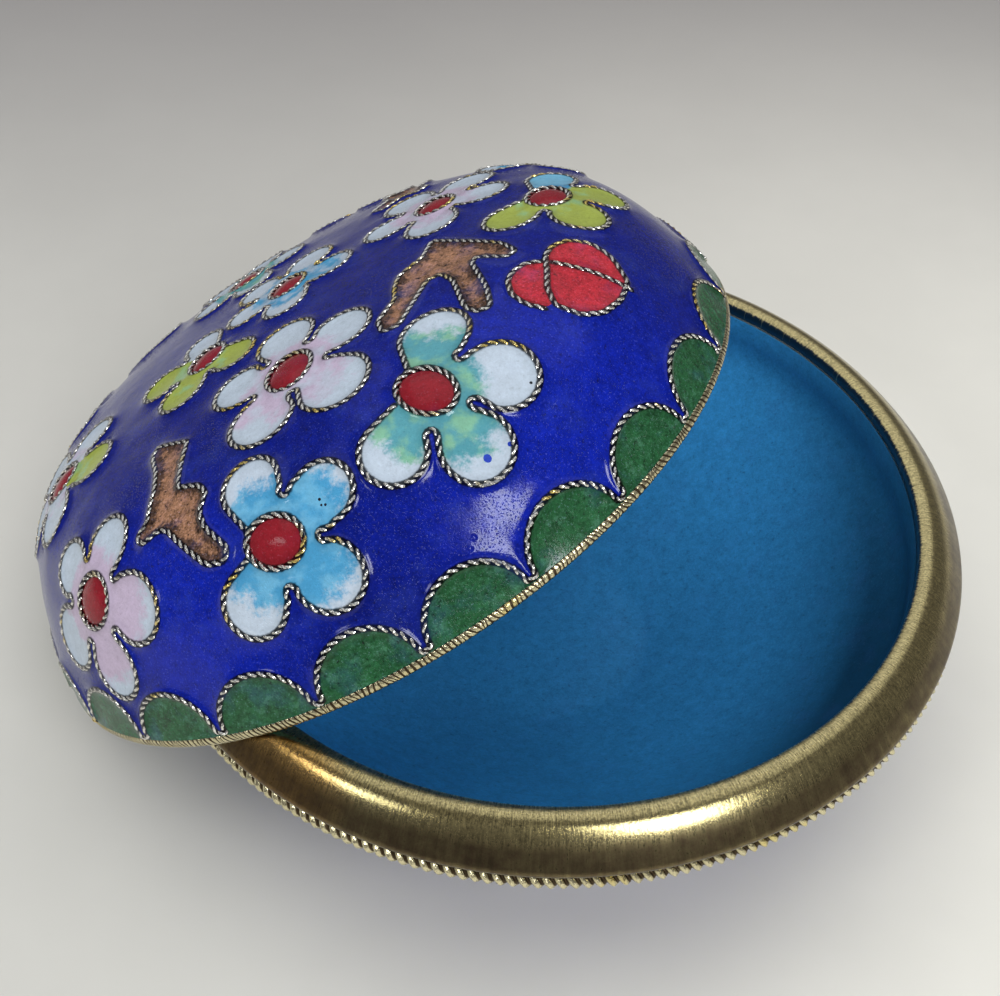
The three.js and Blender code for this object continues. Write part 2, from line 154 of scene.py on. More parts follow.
# Branches and buds drawn flat about a place: x points down the lid, y round it
BRANCHES = {
    "upper": (180, 14.8, [
        (-2.6, 4.2), (-2.1, 1.9), (-2.9, -0.2), (-2.4, -1.7), (-1.5, -3.2), (-1.6, -5.5), (-0.5, -6.8),
        (0.5, -6.2), (0.3, -3.4), (0.1, -1.3), (0.9, -0.7), (2.3, -1.6), (4.5, -4.4), (5.5, -4.8),
        (6.2, -4.1), (5.1, -2.3), (2.7, 0.4), (2.7, 1.1), (5.0, 1.1), (5.3, 1.9), (3.8, 2.8), (0.4, 3.5)]),
    "lower": (103, 20.6, [
        (-5.5, -1.4), (-4.0, -1.2), (-1.2, -0.7), (-0.8, 1.2), (0.0, 2.0), (1.2, 1.6), (2.4, 2.1),
        (4.0, 3.7), (4.8, 3.3), (4.7, 2.0), (3.2, 0.4), (1.7, -1.1), (1.6, -1.8), (2.1, -3.2),
        (1.5, -3.8), (0.7, -2.9), (-1.7, -2.9), (-3.4, -3.4), (-5.2, -4.5), (-6.2, -4.4)]),
    "rear": (267, 17.8, [
        (-4.2, -0.8), (-4.0, 0.7), (-1.6, 0.8), (-0.8, 2.2), (0.4, 2.4), (0.6, 1.0), (2.2, 1.4),
        (4.0, 3.0), (4.8, 2.2), (3.6, 0.4), (1.9, -0.6), (0.4, -1.0), (-0.4, -2.6), (-1.6, -2.5),
        (-1.8, -0.9)]),
}
BUDS = {
    "front": (181, 24.6, {
        "bud": [(-2.4, 1.4), (-2.4, 2.6), (-1.8, 3.7), (-0.3, 4.3), (1.3, 3.9), (3.1, 2.5), (3.3, 0.6),
                (2.8, -1.3), (1.7, -2.5), (0.0, -2.8), (-1.0, -1.7), (-1.7, 0.0)],
        "calyx": [(-2.4, 0.7), (-3.3, 0.2), (-3.7, -0.9), (-3.6, -1.9), (-2.8, -3.1), (-1.6, -3.6),
                  (-0.4, -3.4)],
        "bud_divider": [(-1.7, 0.9), (-0.2, 1.2), (1.3, 1.6), (3.6, 2.1)]}),
    "rear": (350, 21.6, {
        "bud": [(-2.4, 0.0), (-1.9, 1.7), (-0.4, 2.6), (1.3, 2.3), (2.6, 1.0), (2.8, -0.6), (1.8, -2.1),
                (0.1, -2.6), (-1.6, -1.8)],
        "calyx": [(-2.5, 0.4), (-3.5, -0.3), (-3.8, -1.2), (-3.6, -2.0), (-2.6, -2.9), (-1.3, -2.6)],
        "bud_divider": [(-1.9, 0.0), (-0.4, 0.6), (1.0, 0.7), (2.4, 0.2)]}),
}

# Stray dots of glass fired into the petals, (turn, arc) to (radius, glass), and burst bubbles
DOTS = {
    (149.25, 28.4): (0.27, "spill"),
    (161.05, 26.79): (0.1, "soot"),
    (127.3, 24.66): (0.1, "soot"),
    (127.2, 25.03): (0.08, "soot"),
    (127.75, 25.14): (0.09, "soot"),
    (152.7, 28.62): (0.16, "spill"),
}
BUBBLES = [(141.8, 31.58), (140.61, 31.99)]
BUBBLE_RADIUS = 0.16
BUBBLE_RINGS = (0.01, 0.5, 0.75, 1, 1.25, 1.5, 2)
BUBBLE_LIP = 0.03
BUBBLE_LIP_WIDTH = 0.3

# How grainy the glass of each kind of cell is; the lid's material also tells the cells apart by it
GRAINS = {
    "ground": 0.42, "leaf": 0.6, "petal": 0.12, "eye": 0.2, "bark": 1.0, "calyx": 0.6, "bud": 0.5,
    "dot": 0.2,
}

# Strand radius, strand offset and pitch of the base's rope and of the lid's
BASE_ROPE = (0.42, 0.24, 1.5)
LID_ROPE = (0.37, 0.05, 0.68)


def srgb(red, green, blue):
    """A colour picked as 0 to 255 values, as Blender's linear colour."""
    channels = [value / 255 for value in (red, green, blue)]
    linear = [v / 12.92 if v <= 0.04045 else ((v + 0.055) / 1.055) ** 2.4 for v in channels]
    return (*linear, 1.0)


GLASSES = {
    "cobalt": ("Cobalt ground", srgb(9, 30, 150)),
    "leaf": ("Scallop green", srgb(36, 84, 50)),
    "leaf_light": ("Yellow green flecks", srgb(138, 188, 142)),
    "berry": ("Flower eyes", srgb(136, 28, 38)),
    "bud_red": ("Red buds", srgb(176, 38, 50)),
    "bark": ("Branches", srgb(146, 106, 80)),
    "jade": ("Green mottling", srgb(84, 136, 108)),
    "white": ("White petals", srgb(186, 198, 210)),
    "pink": ("Pink tint", srgb(192, 175, 196)),
    "sky": ("Light blue", srgb(72, 150, 192)),
    "ice": ("Pale blue", srgb(116, 180, 210)),
    "teal": ("Teal", srgb(84, 152, 162)),
    "lime": ("Yellow green", srgb(160, 172, 78)),
    "spill": ("Spilt blue dots", srgb(44, 70, 180)),
    "soot": ("Soot specks", srgb(26, 26, 32)),
    "turquoise": ("Turquoise lining", srgb(48, 132, 186)),
}


def glass_property(label, default):
    return FloatVectorProperty(
        name=label, description=f"Colour of the glass: {label.lower()}",
        subtype="COLOR", size=4, min=0, max=1, default=default)


class TrinketBoxSettings(bpy.types.PropertyGroup):
    """Sizes and colours of the box that a maker may change."""
    strand_radius: FloatProperty(
        name="Strand radius", description="Radius of one strand of the twisted wire",
        default=0.125 * MM, unit="LENGTH", subtype="DISTANCE")
    strand_offset: FloatProperty(
        name="Strand offset", description="Distance of a strand's middle from the wire's middle",
        default=0.105 * MM, unit="LENGTH", subtype="DISTANCE")
    twist_pitch: FloatProperty(
        name="Twist pitch", description="Length of wire in which its strands turn once",
        default=1.32 * MM, unit="LENGTH", subtype="DISTANCE")
    meniscus_rise: FloatProperty(
        name="Meniscus rise", description="How far the glass climbs up a wire",
        default=0.11 * MM, unit="LENGTH", subtype="DISTANCE")
    meniscus_reach: FloatProperty(
        name="Meniscus reach", description="How far from a wire the glass still rises",
        default=0.2 * MM, unit="LENGTH", subtype="DISTANCE")
    tarnish: FloatProperty(
        name="Tarnish", description="How dark the brass has become near its outer edge",
        default=0.75, min=0, max=1, subtype="FACTOR")
    cobalt: glass_property(*GLASSES["cobalt"])
    leaf: glass_property(*GLASSES["leaf"])
    leaf_light: glass_property(*GLASSES["leaf_light"])
    berry: glass_property(*GLASSES["berry"])
    bud_red: glass_property(*GLASSES["bud_red"])
    bark: glass_property(*GLASSES["bark"])
    jade: glass_property(*GLASSES["jade"])
    white: glass_property(*GLASSES["white"])
    pink: glass_property(*GLASSES["pink"])
    sky: glass_property(*GLASSES["sky"])
    ice: glass_property(*GLASSES["ice"])
    teal: glass_property(*GLASSES["teal"])
    lime: glass_property(*GLASSES["lime"])
    spill: glass_property(*GLASSES["spill"])
    soot: glass_property(*GLASSES["soot"])
    turquoise: glass_property(*GLASSES["turquoise"])


# Form of the dome

def dome_height(radius):
    """Height of the lid's outside above its rim plane at a radius."""
    ratio = np.clip(radius / LID_RADIUS, 0, 1)
    fall = CROWN_SHARE * ratio**2 + (1 - CROWN_SHARE) * ratio**SHOULDER_POWER
    return LID_HEIGHT * np.maximum(1 - fall, 0) ** FLANK_POWER


def dome_normal(points):
    """Outward normals of the dome above points of its rim plane."""
    radius = np.hypot(points[:, 0], points[:, 1])
    step = 0.001
    inner = np.minimum(radius, LID_RADIUS - 2 * step)
    slope = (dome_height(inner + step) - dome_height(np.maximum(inner - step, 0))) / (2 * step)
    away = -slope / np.maximum(radius, step)
    normals = np.column_stack([away * points[:, 0], away * points[:, 1], np.ones(len(points))])
    return normals / np.linalg.norm(normals, axis=1)[:, None]


ARC_RADII = LID_RADIUS * np.sin(np.linspace(0, math.pi / 2, 2001))
ARC_STEPS = np.hypot(np.diff(ARC_RADII), np.diff(dome_height(ARC_RADII)))
ARC_LENGTHS = np.concatenate([[0], np.cumsum(ARC_STEPS)])
LID_ARC = ARC_LENGTHS[-1]


def on_dome(plane):
    """Points on the dome for plane points, whose distance from the middle is an arc from the top."""
    arc = np.hypot(plane[:, 0], plane[:, 1])
    radius = np.interp(arc, ARC_LENGTHS, ARC_RADII)
    scale = radius / np.maximum(arc, 1e-9)
    return np.column_stack([plane * scale[:, None], dome_height(radius)])


def to_plane(points):
    """The plane points of points on the dome."""
    radius = np.hypot(points[:, 0], points[:, 1])
    arc = np.interp(radius, ARC_RADII, ARC_LENGTHS)
    return points[:, :2] * (arc / np.maximum(radius, 1e-9))[:, None]


def place_axes(turn, arc):
    """A place on the dome with its directions outward, round the lid and up."""
    angle = math.radians(turn)
    centre = on_dome(np.array([[arc * math.cos(angle), arc * math.sin(angle)]]))[0]
    round_lid = np.array([-math.sin(angle), math.cos(angle), 0])
    up = dome_normal(centre[None])[0]
    outward = np.cross(round_lid, up)
    return centre, outward / np.linalg.norm(outward), round_lid, up


def lay_on_dome(turn, arc, drawing, strides=16):
    """Lays a flat drawing on the dome about a place, by walking each point out along the surface."""
    centre, outward, round_lid, _ = place_axes(turn, arc)
    length = np.hypot(drawing[:, 0], drawing[:, 1])
    ahead = (drawing[:, :1] * outward + drawing[:, 1:] * round_lid) / length[:, None]
    points = np.repeat(centre[None], len(drawing), axis=0)
    for _ in range(strides):
        points = points + ahead * (length / strides)[:, None]
        for _ in range(2):
            normals = dome_normal(points)
            height = dome_height(np.hypot(points[:, 0], points[:, 1]))
            points = points - normals * ((points[:, 2] - height) * normals[:, 2])[:, None]
        normals = dome_normal(points)
        ahead = ahead - normals * np.sum(ahead * normals, axis=1)[:, None]
        ahead = ahead / np.linalg.norm(ahead, axis=1)[:, None]
    return points


# Drawings of the wires

def resample(points, closed, step):
    """Points at even steps along a path."""
    points = np.asarray(points, float)
    if closed:
        points = np.vstack([points, points[:1]])
    along = np.concatenate([[0], np.cumsum(np.linalg.norm(np.diff(points, axis=0), axis=1))])
    count = max(int(round(along[-1] / step)), 3)
    stations = np.linspace(0, along[-1], count if closed else count + 1, endpoint=not closed)
    return np.column_stack([np.interp(stations, along, points[:, k]) for k in range(points.shape[1])])


def soften(points, closed, passes):
    """Rounds the corners of a path, keeping the ends of an open one."""
    for _ in range(passes):
        before, after = np.roll(points, 1, axis=0), np.roll(points, -1, axis=0)
        rounded = (before + 2 * points + after) / 4
        if not closed:
            rounded[[0, -1]] = points[[0, -1]]
        points = rounded
    return points


def bent_wire(points, closed=True, passes=8):
    return soften(resample(points, closed, PATH_STEP), closed, passes)


def polar(bearing, reach):
    return reach * np.array([math.cos(bearing), math.sin(bearing)])


def petal_lobe(degrees, reach, lobe, steps=24):
    """A petal's lobe, from one side of its neck round to the other."""
    bearing = math.radians(degrees)
    swing = bearing + np.linspace(-LOBE_SWEEP, LOBE_SWEEP, steps + 1)
    return polar(bearing, reach) + lobe * np.column_stack([np.cos(swing), np.sin(swing)])


def petal_notch(before, after):
    """The tight bend of the wire between two petals, with a small bulb at its tip."""
    bearing = math.radians(before + ((after - before) % 360) / 2)
    outward = polar(bearing, 1)
    side = np.array([outward[1], -outward[0]])
    swing = np.radians(np.linspace(*NOTCH_BULB_SWEEP, 10))[:, None]
    bulb = NOTCH_BULB * (np.cos(swing) * outward + np.sin(swing) * side)
    neck = (NOTCH_REACH + NOTCH_NECK * NOTCH_BULB) * outward
    half = side * STRAND_SPACING / 2
    return np.vstack([neck + half, (NOTCH_REACH + NOTCH_BULB) * outward + bulb, neck - half])


def flower_outline(petals, is_open, eye):
    """The outline wire of a flower; an open one starts and ends at its eye."""
    parts = []
    for index, petal in enumerate(petals):
        parts.append(petal_lobe(*petal))
        if index < len(petals) - 1 or not is_open:
            parts.append(petal_notch(petal[0], petals[(index + 1) % len(petals)][0]))
    if is_open:
        near = 0.5 * (eye[0] + eye[1]) + OPEN_END_CLEARANCE
        start = polar(math.radians(petals[0][0] - OPEN_END_SWING), near)
        finish = polar(math.radians(petals[-1][0] + OPEN_END_SWING), near)
        parts = [start[None], *parts, finish[None]]
    return bent_wire(np.vstack(parts), closed=not is_open)


def eye_ring(long, short, turn):
    angle = np.linspace(0, 2 * math.pi, 48, endpoint=False)
    tilt = math.radians(turn)
    x, y = long * np.cos(angle), short * np.sin(angle)
    ring = [x * math.cos(tilt) - y * math.sin(tilt), x * math.sin(tilt) + y * math.cos(tilt)]
    return bent_wire(np.column_stack(ring))


def scallop_row(steps=24):
    """Turn and height of points along the row of scallops."""
    pitch = 2 * math.pi / SCALLOP_COUNT
    inset = STRAND_SPACING / 2 / LID_RADIUS
    swing = math.pi * np.linspace(0, 1, steps + 1)
    turns = inset + (0.5 - 0.5 * np.cos(swing)) * (pitch - 2 * inset)
    starts = SCALLOP_START + pitch * np.arange(SCALLOP_COUNT)[:, None]
    return (starts + turns).ravel(), np.tile(SCALLOP_HEIGHT * np.sin(swing), SCALLOP_COUNT)


def lid_scallops():
    turns, heights = scallop_row()
    arcs = LID_ARC - LID_SCALLOP_FOOT - heights
    plane = np.column_stack([arcs * np.cos(turns), arcs * np.sin(turns)])
    return soften(resample(on_dome(plane), True, PATH_STEP), True, 3)


def lid_drawings():
    """Every wire on the lid: node name to (points on the dome, closed)."""
    wires = {"lid_scallop_wire": (lid_scallops(), True)}
    for name, (turn, arc, eye, is_open, _, petals) in FLOWERS.items():
        outline = flower_outline(petals, is_open, eye)
        wires[f"{name}_flower_wire"] = (lay_on_dome(turn, arc, outline), not is_open)
        wires[f"{name}_eye_wire"] = (lay_on_dome(turn, arc, eye_ring(*eye)), True)
    for name, (turn, arc, outline) in BRANCHES.items():
        wires[f"{name}_branch_wire"] = (lay_on_dome(turn, arc, bent_wire(outline, passes=12)), True)
    for name, (turn, arc, parts) in BUDS.items():
        for part, outline in parts.items():
            closed = part == "bud"
            wires[f"{name}_{part}_wire"] = (lay_on_dome(turn, arc, bent_wire(outline, closed, 12)), closed)
    return wires


def lid_place():
    """The lid's place, read from its rim wire's plane in the frame."""
    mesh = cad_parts["lid_rim_wire"].data
    points = np.empty(3 * len(mesh.vertices))
    mesh.vertices.foreach_get("co", points)
    points = points.reshape(-1, 3)
    low, high = points.min(0), points.max(0)
    middle = (low + high) / 2
    spread = np.linalg.svd(points - points.mean(0), full_matrices=False)[2]
    axis = spread[2] if spread[2][2] > 0 else -spread[2]
    tilt, turn = math.acos(axis[2]), math.atan2(axis[1], axis[0])
    place = Matrix.Rotation(turn, 4, "Z") @ Matrix.Rotation(tilt, 4, "Y")
    place.translation = Vector(middle) - Vector(axis) * RIM_WIRE_HEIGHT / 2 * MM
    return place


# Mesh helpers

def select_only(piece):
    bpy.ops.object.select_all(action="DESELECT")
    piece.select_set(True)
    bpy.context.view_layer.objects.active = piece


def coordinates(mesh):
    points = np.empty(3 * len(mesh.vertices))
    mesh.vertices.foreach_get("co", points)
    return points.reshape(-1, 3)


def set_coordinates(mesh, points):
    mesh.vertices.foreach_set("co", np.ascontiguousarray(points).ravel())
    mesh.update()


def set_attribute(mesh, name, kind, domain, values):
    attribute = mesh.attributes.new(name, kind, domain)
    field = "color" if kind == "FLOAT_COLOR" else "value"
    attribute.data.foreach_set(field, np.ascontiguousarray(values, np.float32).ravel())


def finish_piece(piece, node, place=None, smooth=math.radians(40)):
    """Puts a finished mesh in its place, smooth-shaded, in the stead of its frame node."""
    if place is not None:
        piece.data.transform(place)
    select_only(piece)
    bpy.ops.object.shade_smooth_by_angle(angle=smooth)
    bpy.ops.object.select_all(action="DESELECT")
    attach(piece, "root")
    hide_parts(node)
    return piece


def spun_piece(name, profile, steps):
    """Spins a closed profile of (radius, height) points in millimetres round the box's axis."""
    bpy.ops.object.select_all(action="DESELECT")
    bpy.ops.mesh.primitive_circle_add(vertices=len(profile), radius=MM)
    piece = bpy.context.object
    piece.name = piece.data.name = name
    set_coordinates(piece.data, np.array([(radius, 0, height) for radius, height in profile]) * MM)
    bpy.ops.object.mode_set(mode="EDIT")
    bpy.ops.mesh.select_all(action="SELECT")
    bpy.ops.mesh.spin(steps=steps, angle=2 * math.pi, center=(0, 0, 0), axis=(0, 0, 1))
    bpy.ops.mesh.select_all(action="SELECT")
    bpy.ops.mesh.remove_doubles(threshold=0.002 * MM)
    bpy.ops.mesh.delete_loose(use_verts=True, use_edges=True, use_faces=False)
    bpy.ops.mesh.select_all(action="SELECT")
    bpy.ops.mesh.normals_make_consistent(inside=False)
    bpy.ops.object.mode_set(mode="OBJECT")
    return piece


# Twisted wire

SECTION_SIDES = 14
TURN_STEPS = 14


def wire_turn(strand_radius, strand_offset, pitch):
    """One turn of two strands twisted together, along X, with their crevices marked."""
    bpy.ops.object.select_all(action="DESELECT")
    bpy.ops.mesh.primitive_circle_add(vertices=SECTION_SIDES, radius=strand_radius)
    turn = bpy.context.object
    turn.name = turn.data.name = "wire_turn"
    angle = 2 * math.pi * np.arange(SECTION_SIDES) / SECTION_SIDES
    reach = strand_offset * abs(np.cos(angle))
    reach += np.sqrt(strand_radius**2 - (strand_offset * np.sin(angle)) ** 2)
    section = np.column_stack([np.zeros(SECTION_SIDES), reach * np.cos(angle), reach * np.sin(angle)])
    set_coordinates(turn.data, section)
    bpy.ops.object.mode_set(mode="EDIT")
    bpy.ops.mesh.select_all(action="SELECT")
    for _ in range(TURN_STEPS):
        bpy.ops.mesh.extrude_edges_move(TRANSFORM_OT_translate={"value": (pitch / TURN_STEPS, 0, 0)})
        bpy.ops.transform.rotate(
            value=-2 * math.pi / TURN_STEPS, orient_axis="X", center_override=(0, 0, 0))
    bpy.ops.mesh.select_all(action="SELECT")
    bpy.ops.mesh.normals_make_consistent(inside=False)
    bpy.ops.object.mode_set(mode="OBJECT")
    points = coordinates(turn.data)
    depth = 1 - (np.hypot(points[:, 1], points[:, 2]) - reach.min()) / (reach.max() - reach.min())
    set_attribute(turn.data, "crevice", "FLOAT", "POINT", depth)
    return turn


def path_curve(points, closed):
    """A path in metres as a curve that a modifier can follow."""
    data = bpy.data.curves.new("wire_path", "CURVE")
    data.dimensions = "3D"
    spline = data.splines.new("POLY")
    spline.points.add(len(points) - 1)
    spline.points.foreach_set("co", np.column_stack([points, np.ones(len(points))]).ravel())
    spline.use_cyclic_u = closed
    curve = bpy.data.objects.new("wire_path", data)
    bpy.context.scene.collection.objects.link(curve)
    return curve


def path_length(points, closed):
    steps = np.linalg.norm(np.diff(points, axis=0), axis=1).sum()
    return steps + (np.linalg.norm(points[0] - points[-1]) if closed else 0)


def laid_wire(name, turn, pitch, points, closed):
    """Repeats a turn of wire along a path in metres and bends it to follow."""
    length = path_length(points, closed)
    count = max(round(length / pitch), 1)
    curve = path_curve(points, closed)
    wire = bpy.data.objects.new(name, turn.data.copy())
    wire.data.name = name
    bpy.context.scene.collection.objects.link(wire)
    wire.data.transform(Matrix.Scale(length / count / pitch, 4, (1, 0, 0)))
    select_only(wire)
    array = wire.modifiers.new("turns", "ARRAY")
    array.count = count
    array.use_relative_offset = False
    array.use_constant_offset = True
    array.constant_offset_displace = (length / count, 0, 0)
    array.use_merge_vertices = True
    array.merge_threshold = 0.002 * MM
    bend = wire.modifiers.new("bend", "CURVE")
    bend.object = curve
    bend.deform_axis = "POS_X"
    bpy.ops.object.modifier_apply(modifier=array.name)
    bpy.ops.object.modifier_apply(modifier=bend.name)
    bpy.ops.object.mode_set(mode="EDIT")
    bpy.ops.mesh.select_all(action="SELECT")
    bpy.ops.mesh.remove_doubles(threshold=0.01 * MM)
    bpy.ops.mesh.select_all(action="DESELECT")
    bpy.ops.mesh.select_non_manifold()
    bpy.ops.mesh.fill_holes(sides=0)
    bpy.ops.mesh.select_all(action="SELECT")
    bpy.ops.mesh.normals_make_consistent(inside=False)
    bpy.ops.object.mode_set(mode="OBJECT")
    data = curve.data
    bpy.data.objects.remove(curve)
    bpy.data.curves.remove(data)
    return wire


def mark_height(wire, path, normals):
    """Marks how far each point of a wire stands above its middle, from -1 to 1."""
    tree = KDTree(len(path))
    for index, point in enumerate(path):
        tree.insert(point, index)
    tree.balance()
    points = coordinates(wire.data)
    nearest = np.array([tree.find(point)[1] for point in points])
    height = np.sum((points - path[nearest]) * normals[nearest], axis=1)
    set_attribute(wire.data, "crest", "FLOAT", "POINT", height / np.abs(height).max())


# The lid's enamel: rows of points beside each wire, a lattice between them and two rows at the rim
SHELLS = (0.2, 0.3, 0.42, 0.6, 0.85)
EYE_SHELLS = (1.05, 1.25)
SHELL_CLEARANCE = 0.94
GRID_STEP = 0.75
GRID_CLEARANCE = 1.2
RIM_POINTS = 480
RIM_ROW = 0.18
RIM_CLEARANCE = 0.3

# How high the glass stands: beside a wire, between wires, at the rim, in an eye and in its waves
WIRE_HALF = 0.2
SAG = 0.12
SAG_REACH = 0.7
RIM_LIFT = 0.1
RIM_REACH = 0.5
RIM_FLAT = 0.05
EYE_EDGE = 0.12
EYE_DOME = 0.25
EYE_REACH = 1.4
ORANGE_PEEL = 0.014
ORANGE_PEEL_SIZE = 3.2


def wire_tree(wires):
    paths = np.vstack([points for points, _ in wires.values()])
    tree = KDTree(len(paths))
    for index, point in enumerate(paths):
        tree.insert(point, index)
    tree.balance()
    return tree


def gaps_to_wires(points, tree):
    return np.array([tree.find(point)[2] for point in points])


def beside(points, closed, distance):
    """Points beside a path on the dome, at a distance to its right, or left if negative."""
    after = np.roll(points, -1, axis=0)
    before = np.roll(points, 1, axis=0)
    if not closed:
        after[-1], before[0] = points[-1], points[0]
    side = np.cross(after - before, dome_normal(points))
    return points + distance * side / np.linalg.norm(side, axis=1)[:, None]


def small_ring(turn, arc, radius, sides=14):
    """A small ring in the unrolled dome's plane, round a place on the lid."""
    angle = 2 * math.pi * np.arange(sides) / sides
    return polar(math.radians(turn), arc) + radius * np.column_stack([np.cos(angle), np.sin(angle)])


def lid_plane_mesh(wires, tree, rim_arc):
    """Triangles in the plane of the unrolled dome, whose edges follow the wires."""
    lines, edges, first = [], [], 0
    for points, closed in wires.values():
        line = to_plane(points[::2])
        lines.append(line)
        edges += [(first + i, first + i + 1) for i in range(len(line) - 1)]
        if closed:
            edges.append((first + len(line) - 1, first))
        first += len(line)
    for (turn, arc), (radius, _) in DOTS.items():
        ring = small_ring(turn, arc, radius)
        lines.append(ring)
        edges += [(first + i, first + (i + 1) % len(ring)) for i in range(len(ring))]
        first += len(ring)
    for turn, arc in BUBBLES:
        lines += [small_ring(turn, arc, BUBBLE_RADIUS * share) for share in BUBBLE_RINGS]
    for distance in SHELLS + EYE_SHELLS:
        for name, (points, closed) in wires.items():
            if distance in EYE_SHELLS and not name.endswith("eye_wire"):
                continue
            for side in (-distance, distance):
                shell = beside(points[::2], closed, side)
                shell = to_plane(shell[gaps_to_wires(shell, tree) > SHELL_CLEARANCE * distance])
                lines.append(shell[np.hypot(*shell.T) < rim_arc - RIM_CLEARANCE])
    rows = int(2 * rim_arc / GRID_STEP)
    lattice = np.stack(np.meshgrid(np.arange(-rows, rows), np.arange(-rows, rows)), -1).reshape(-1, 2)
    grid = GRID_STEP * lattice @ np.array([[1, 0], [0.5, math.sqrt(0.75)]])
    grid = grid[np.hypot(*grid.T) < rim_arc - 0.6 * GRID_STEP]
    lines.append(grid[gaps_to_wires(on_dome(grid), tree) > GRID_CLEARANCE * SHELLS[-1]])
    turns = 2 * math.pi * np.arange(RIM_POINTS) / RIM_POINTS
    for arc in (rim_arc, rim_arc - RIM_ROW):
        lines.append(arc * np.column_stack([np.cos(turns), np.sin(turns)]))
    vertices = [Vector(point) for point in np.vstack(lines)]
    result = delaunay_2d_cdt(vertices, edges, [], 0, 1e-5)
    return np.array([tuple(point) for point in result[0]]), np.array(result[2])


def inside_outline(points, outline):
    """Which plane points lie inside a closed outline."""
    near = np.all((points > outline.min(0)) & (points < outline.max(0)), axis=1)
    x, y = points[near].T
    inside = np.zeros(len(x), bool)
    for (x0, y0), (x1, y1) in zip(outline, np.roll(outline, -1, axis=0)):
        if y0 != y1:
            inside ^= ((y0 > y) != (y1 > y)) & (x < x0 + (y - y0) * (x1 - x0) / (y1 - y0))
    near[near] = inside
    return near


def glass(names, settings):
    return [tuple(getattr(settings, name)) for name in names]


def cell_paints(wires, points, triangles, settings):
    """The glass of each face and, at its corners, the place between a flower's eye and its tips."""
    middles = points[triangles].mean(axis=1)
    plane = to_plane(middles)
    outlines = {name: to_plane(points) for name, (points, _) in wires.items()}
    paint = np.empty((len(triangles), 3, 4))
    paint[:] = glass(("cobalt", "cobalt", "cobalt"), settings)
    place, grain = np.ones((len(triangles), 3)), np.full(len(triangles), GRAINS["ground"])

    def fill(outline, names, kind):
        found = np.flatnonzero(inside_outline(plane, outline))
        paint[found] = glass(names, settings)
        grain[found] = GRAINS[kind]
        place[found] = 1
        return found

    below = ~inside_outline(plane, outlines["lid_scallop_wire"])
    paint[below] = glass(("leaf", "leaf", "jade"), settings)
    grain[below] = GRAINS["leaf"]
    for name, (turn, arc, _, _, names, petals) in FLOWERS.items():
        found = fill(outlines[f"{name}_flower_wire"], names, "petal")
        centre, outward, round_lid, _ = place_axes(turn, arc)
        local = (middles[found] - centre) @ np.column_stack([outward, round_lid])
        bearing = np.degrees(np.arctan2(local[:, 1], local[:, 0]))
        away = abs((bearing[:, None] - [petal[0] for petal in petals] + 180) % 360 - 180)
        nearest = np.argmin(away, axis=1)
        tips = np.array([petal[1] + petal[2] for petal in petals])[nearest]
        reach = np.array([PETAL_REACH.get((name, petal[0]), 1.0) for petal in petals])[nearest]
        from_eye = np.linalg.norm(points[triangles[found]] - centre, axis=2)
        place[found] = from_eye * (reach / tips)[:, None]
        for index, petal in enumerate(petals):
            odd = ODD_PETALS.get((name, petal[0]))
            if odd:
                paint[found[nearest == index]] = glass(odd, settings)
        fill(outlines[f"{name}_eye_wire"], ("berry", "berry", "berry"), "eye")
    for name in BRANCHES:
        fill(outlines[f"{name}_branch_wire"], ("bark", "bark", "bark"), "bark")
    for name in BUDS:
        bud, calyx = outlines[f"{name}_bud_wire"], outlines[f"{name}_calyx_wire"]
        fill(np.vstack([calyx, bud.mean(0)]), ("bud_red", "bud_red", "bud_red"), "calyx")
        fill(bud, ("bud_red", "bud_red", "bud_red"), "bud")
    for (turn, arc), (radius, name) in DOTS.items():
        fill(small_ring(turn, arc, radius), (name, name, name), "dot")
    return paint, place, grain


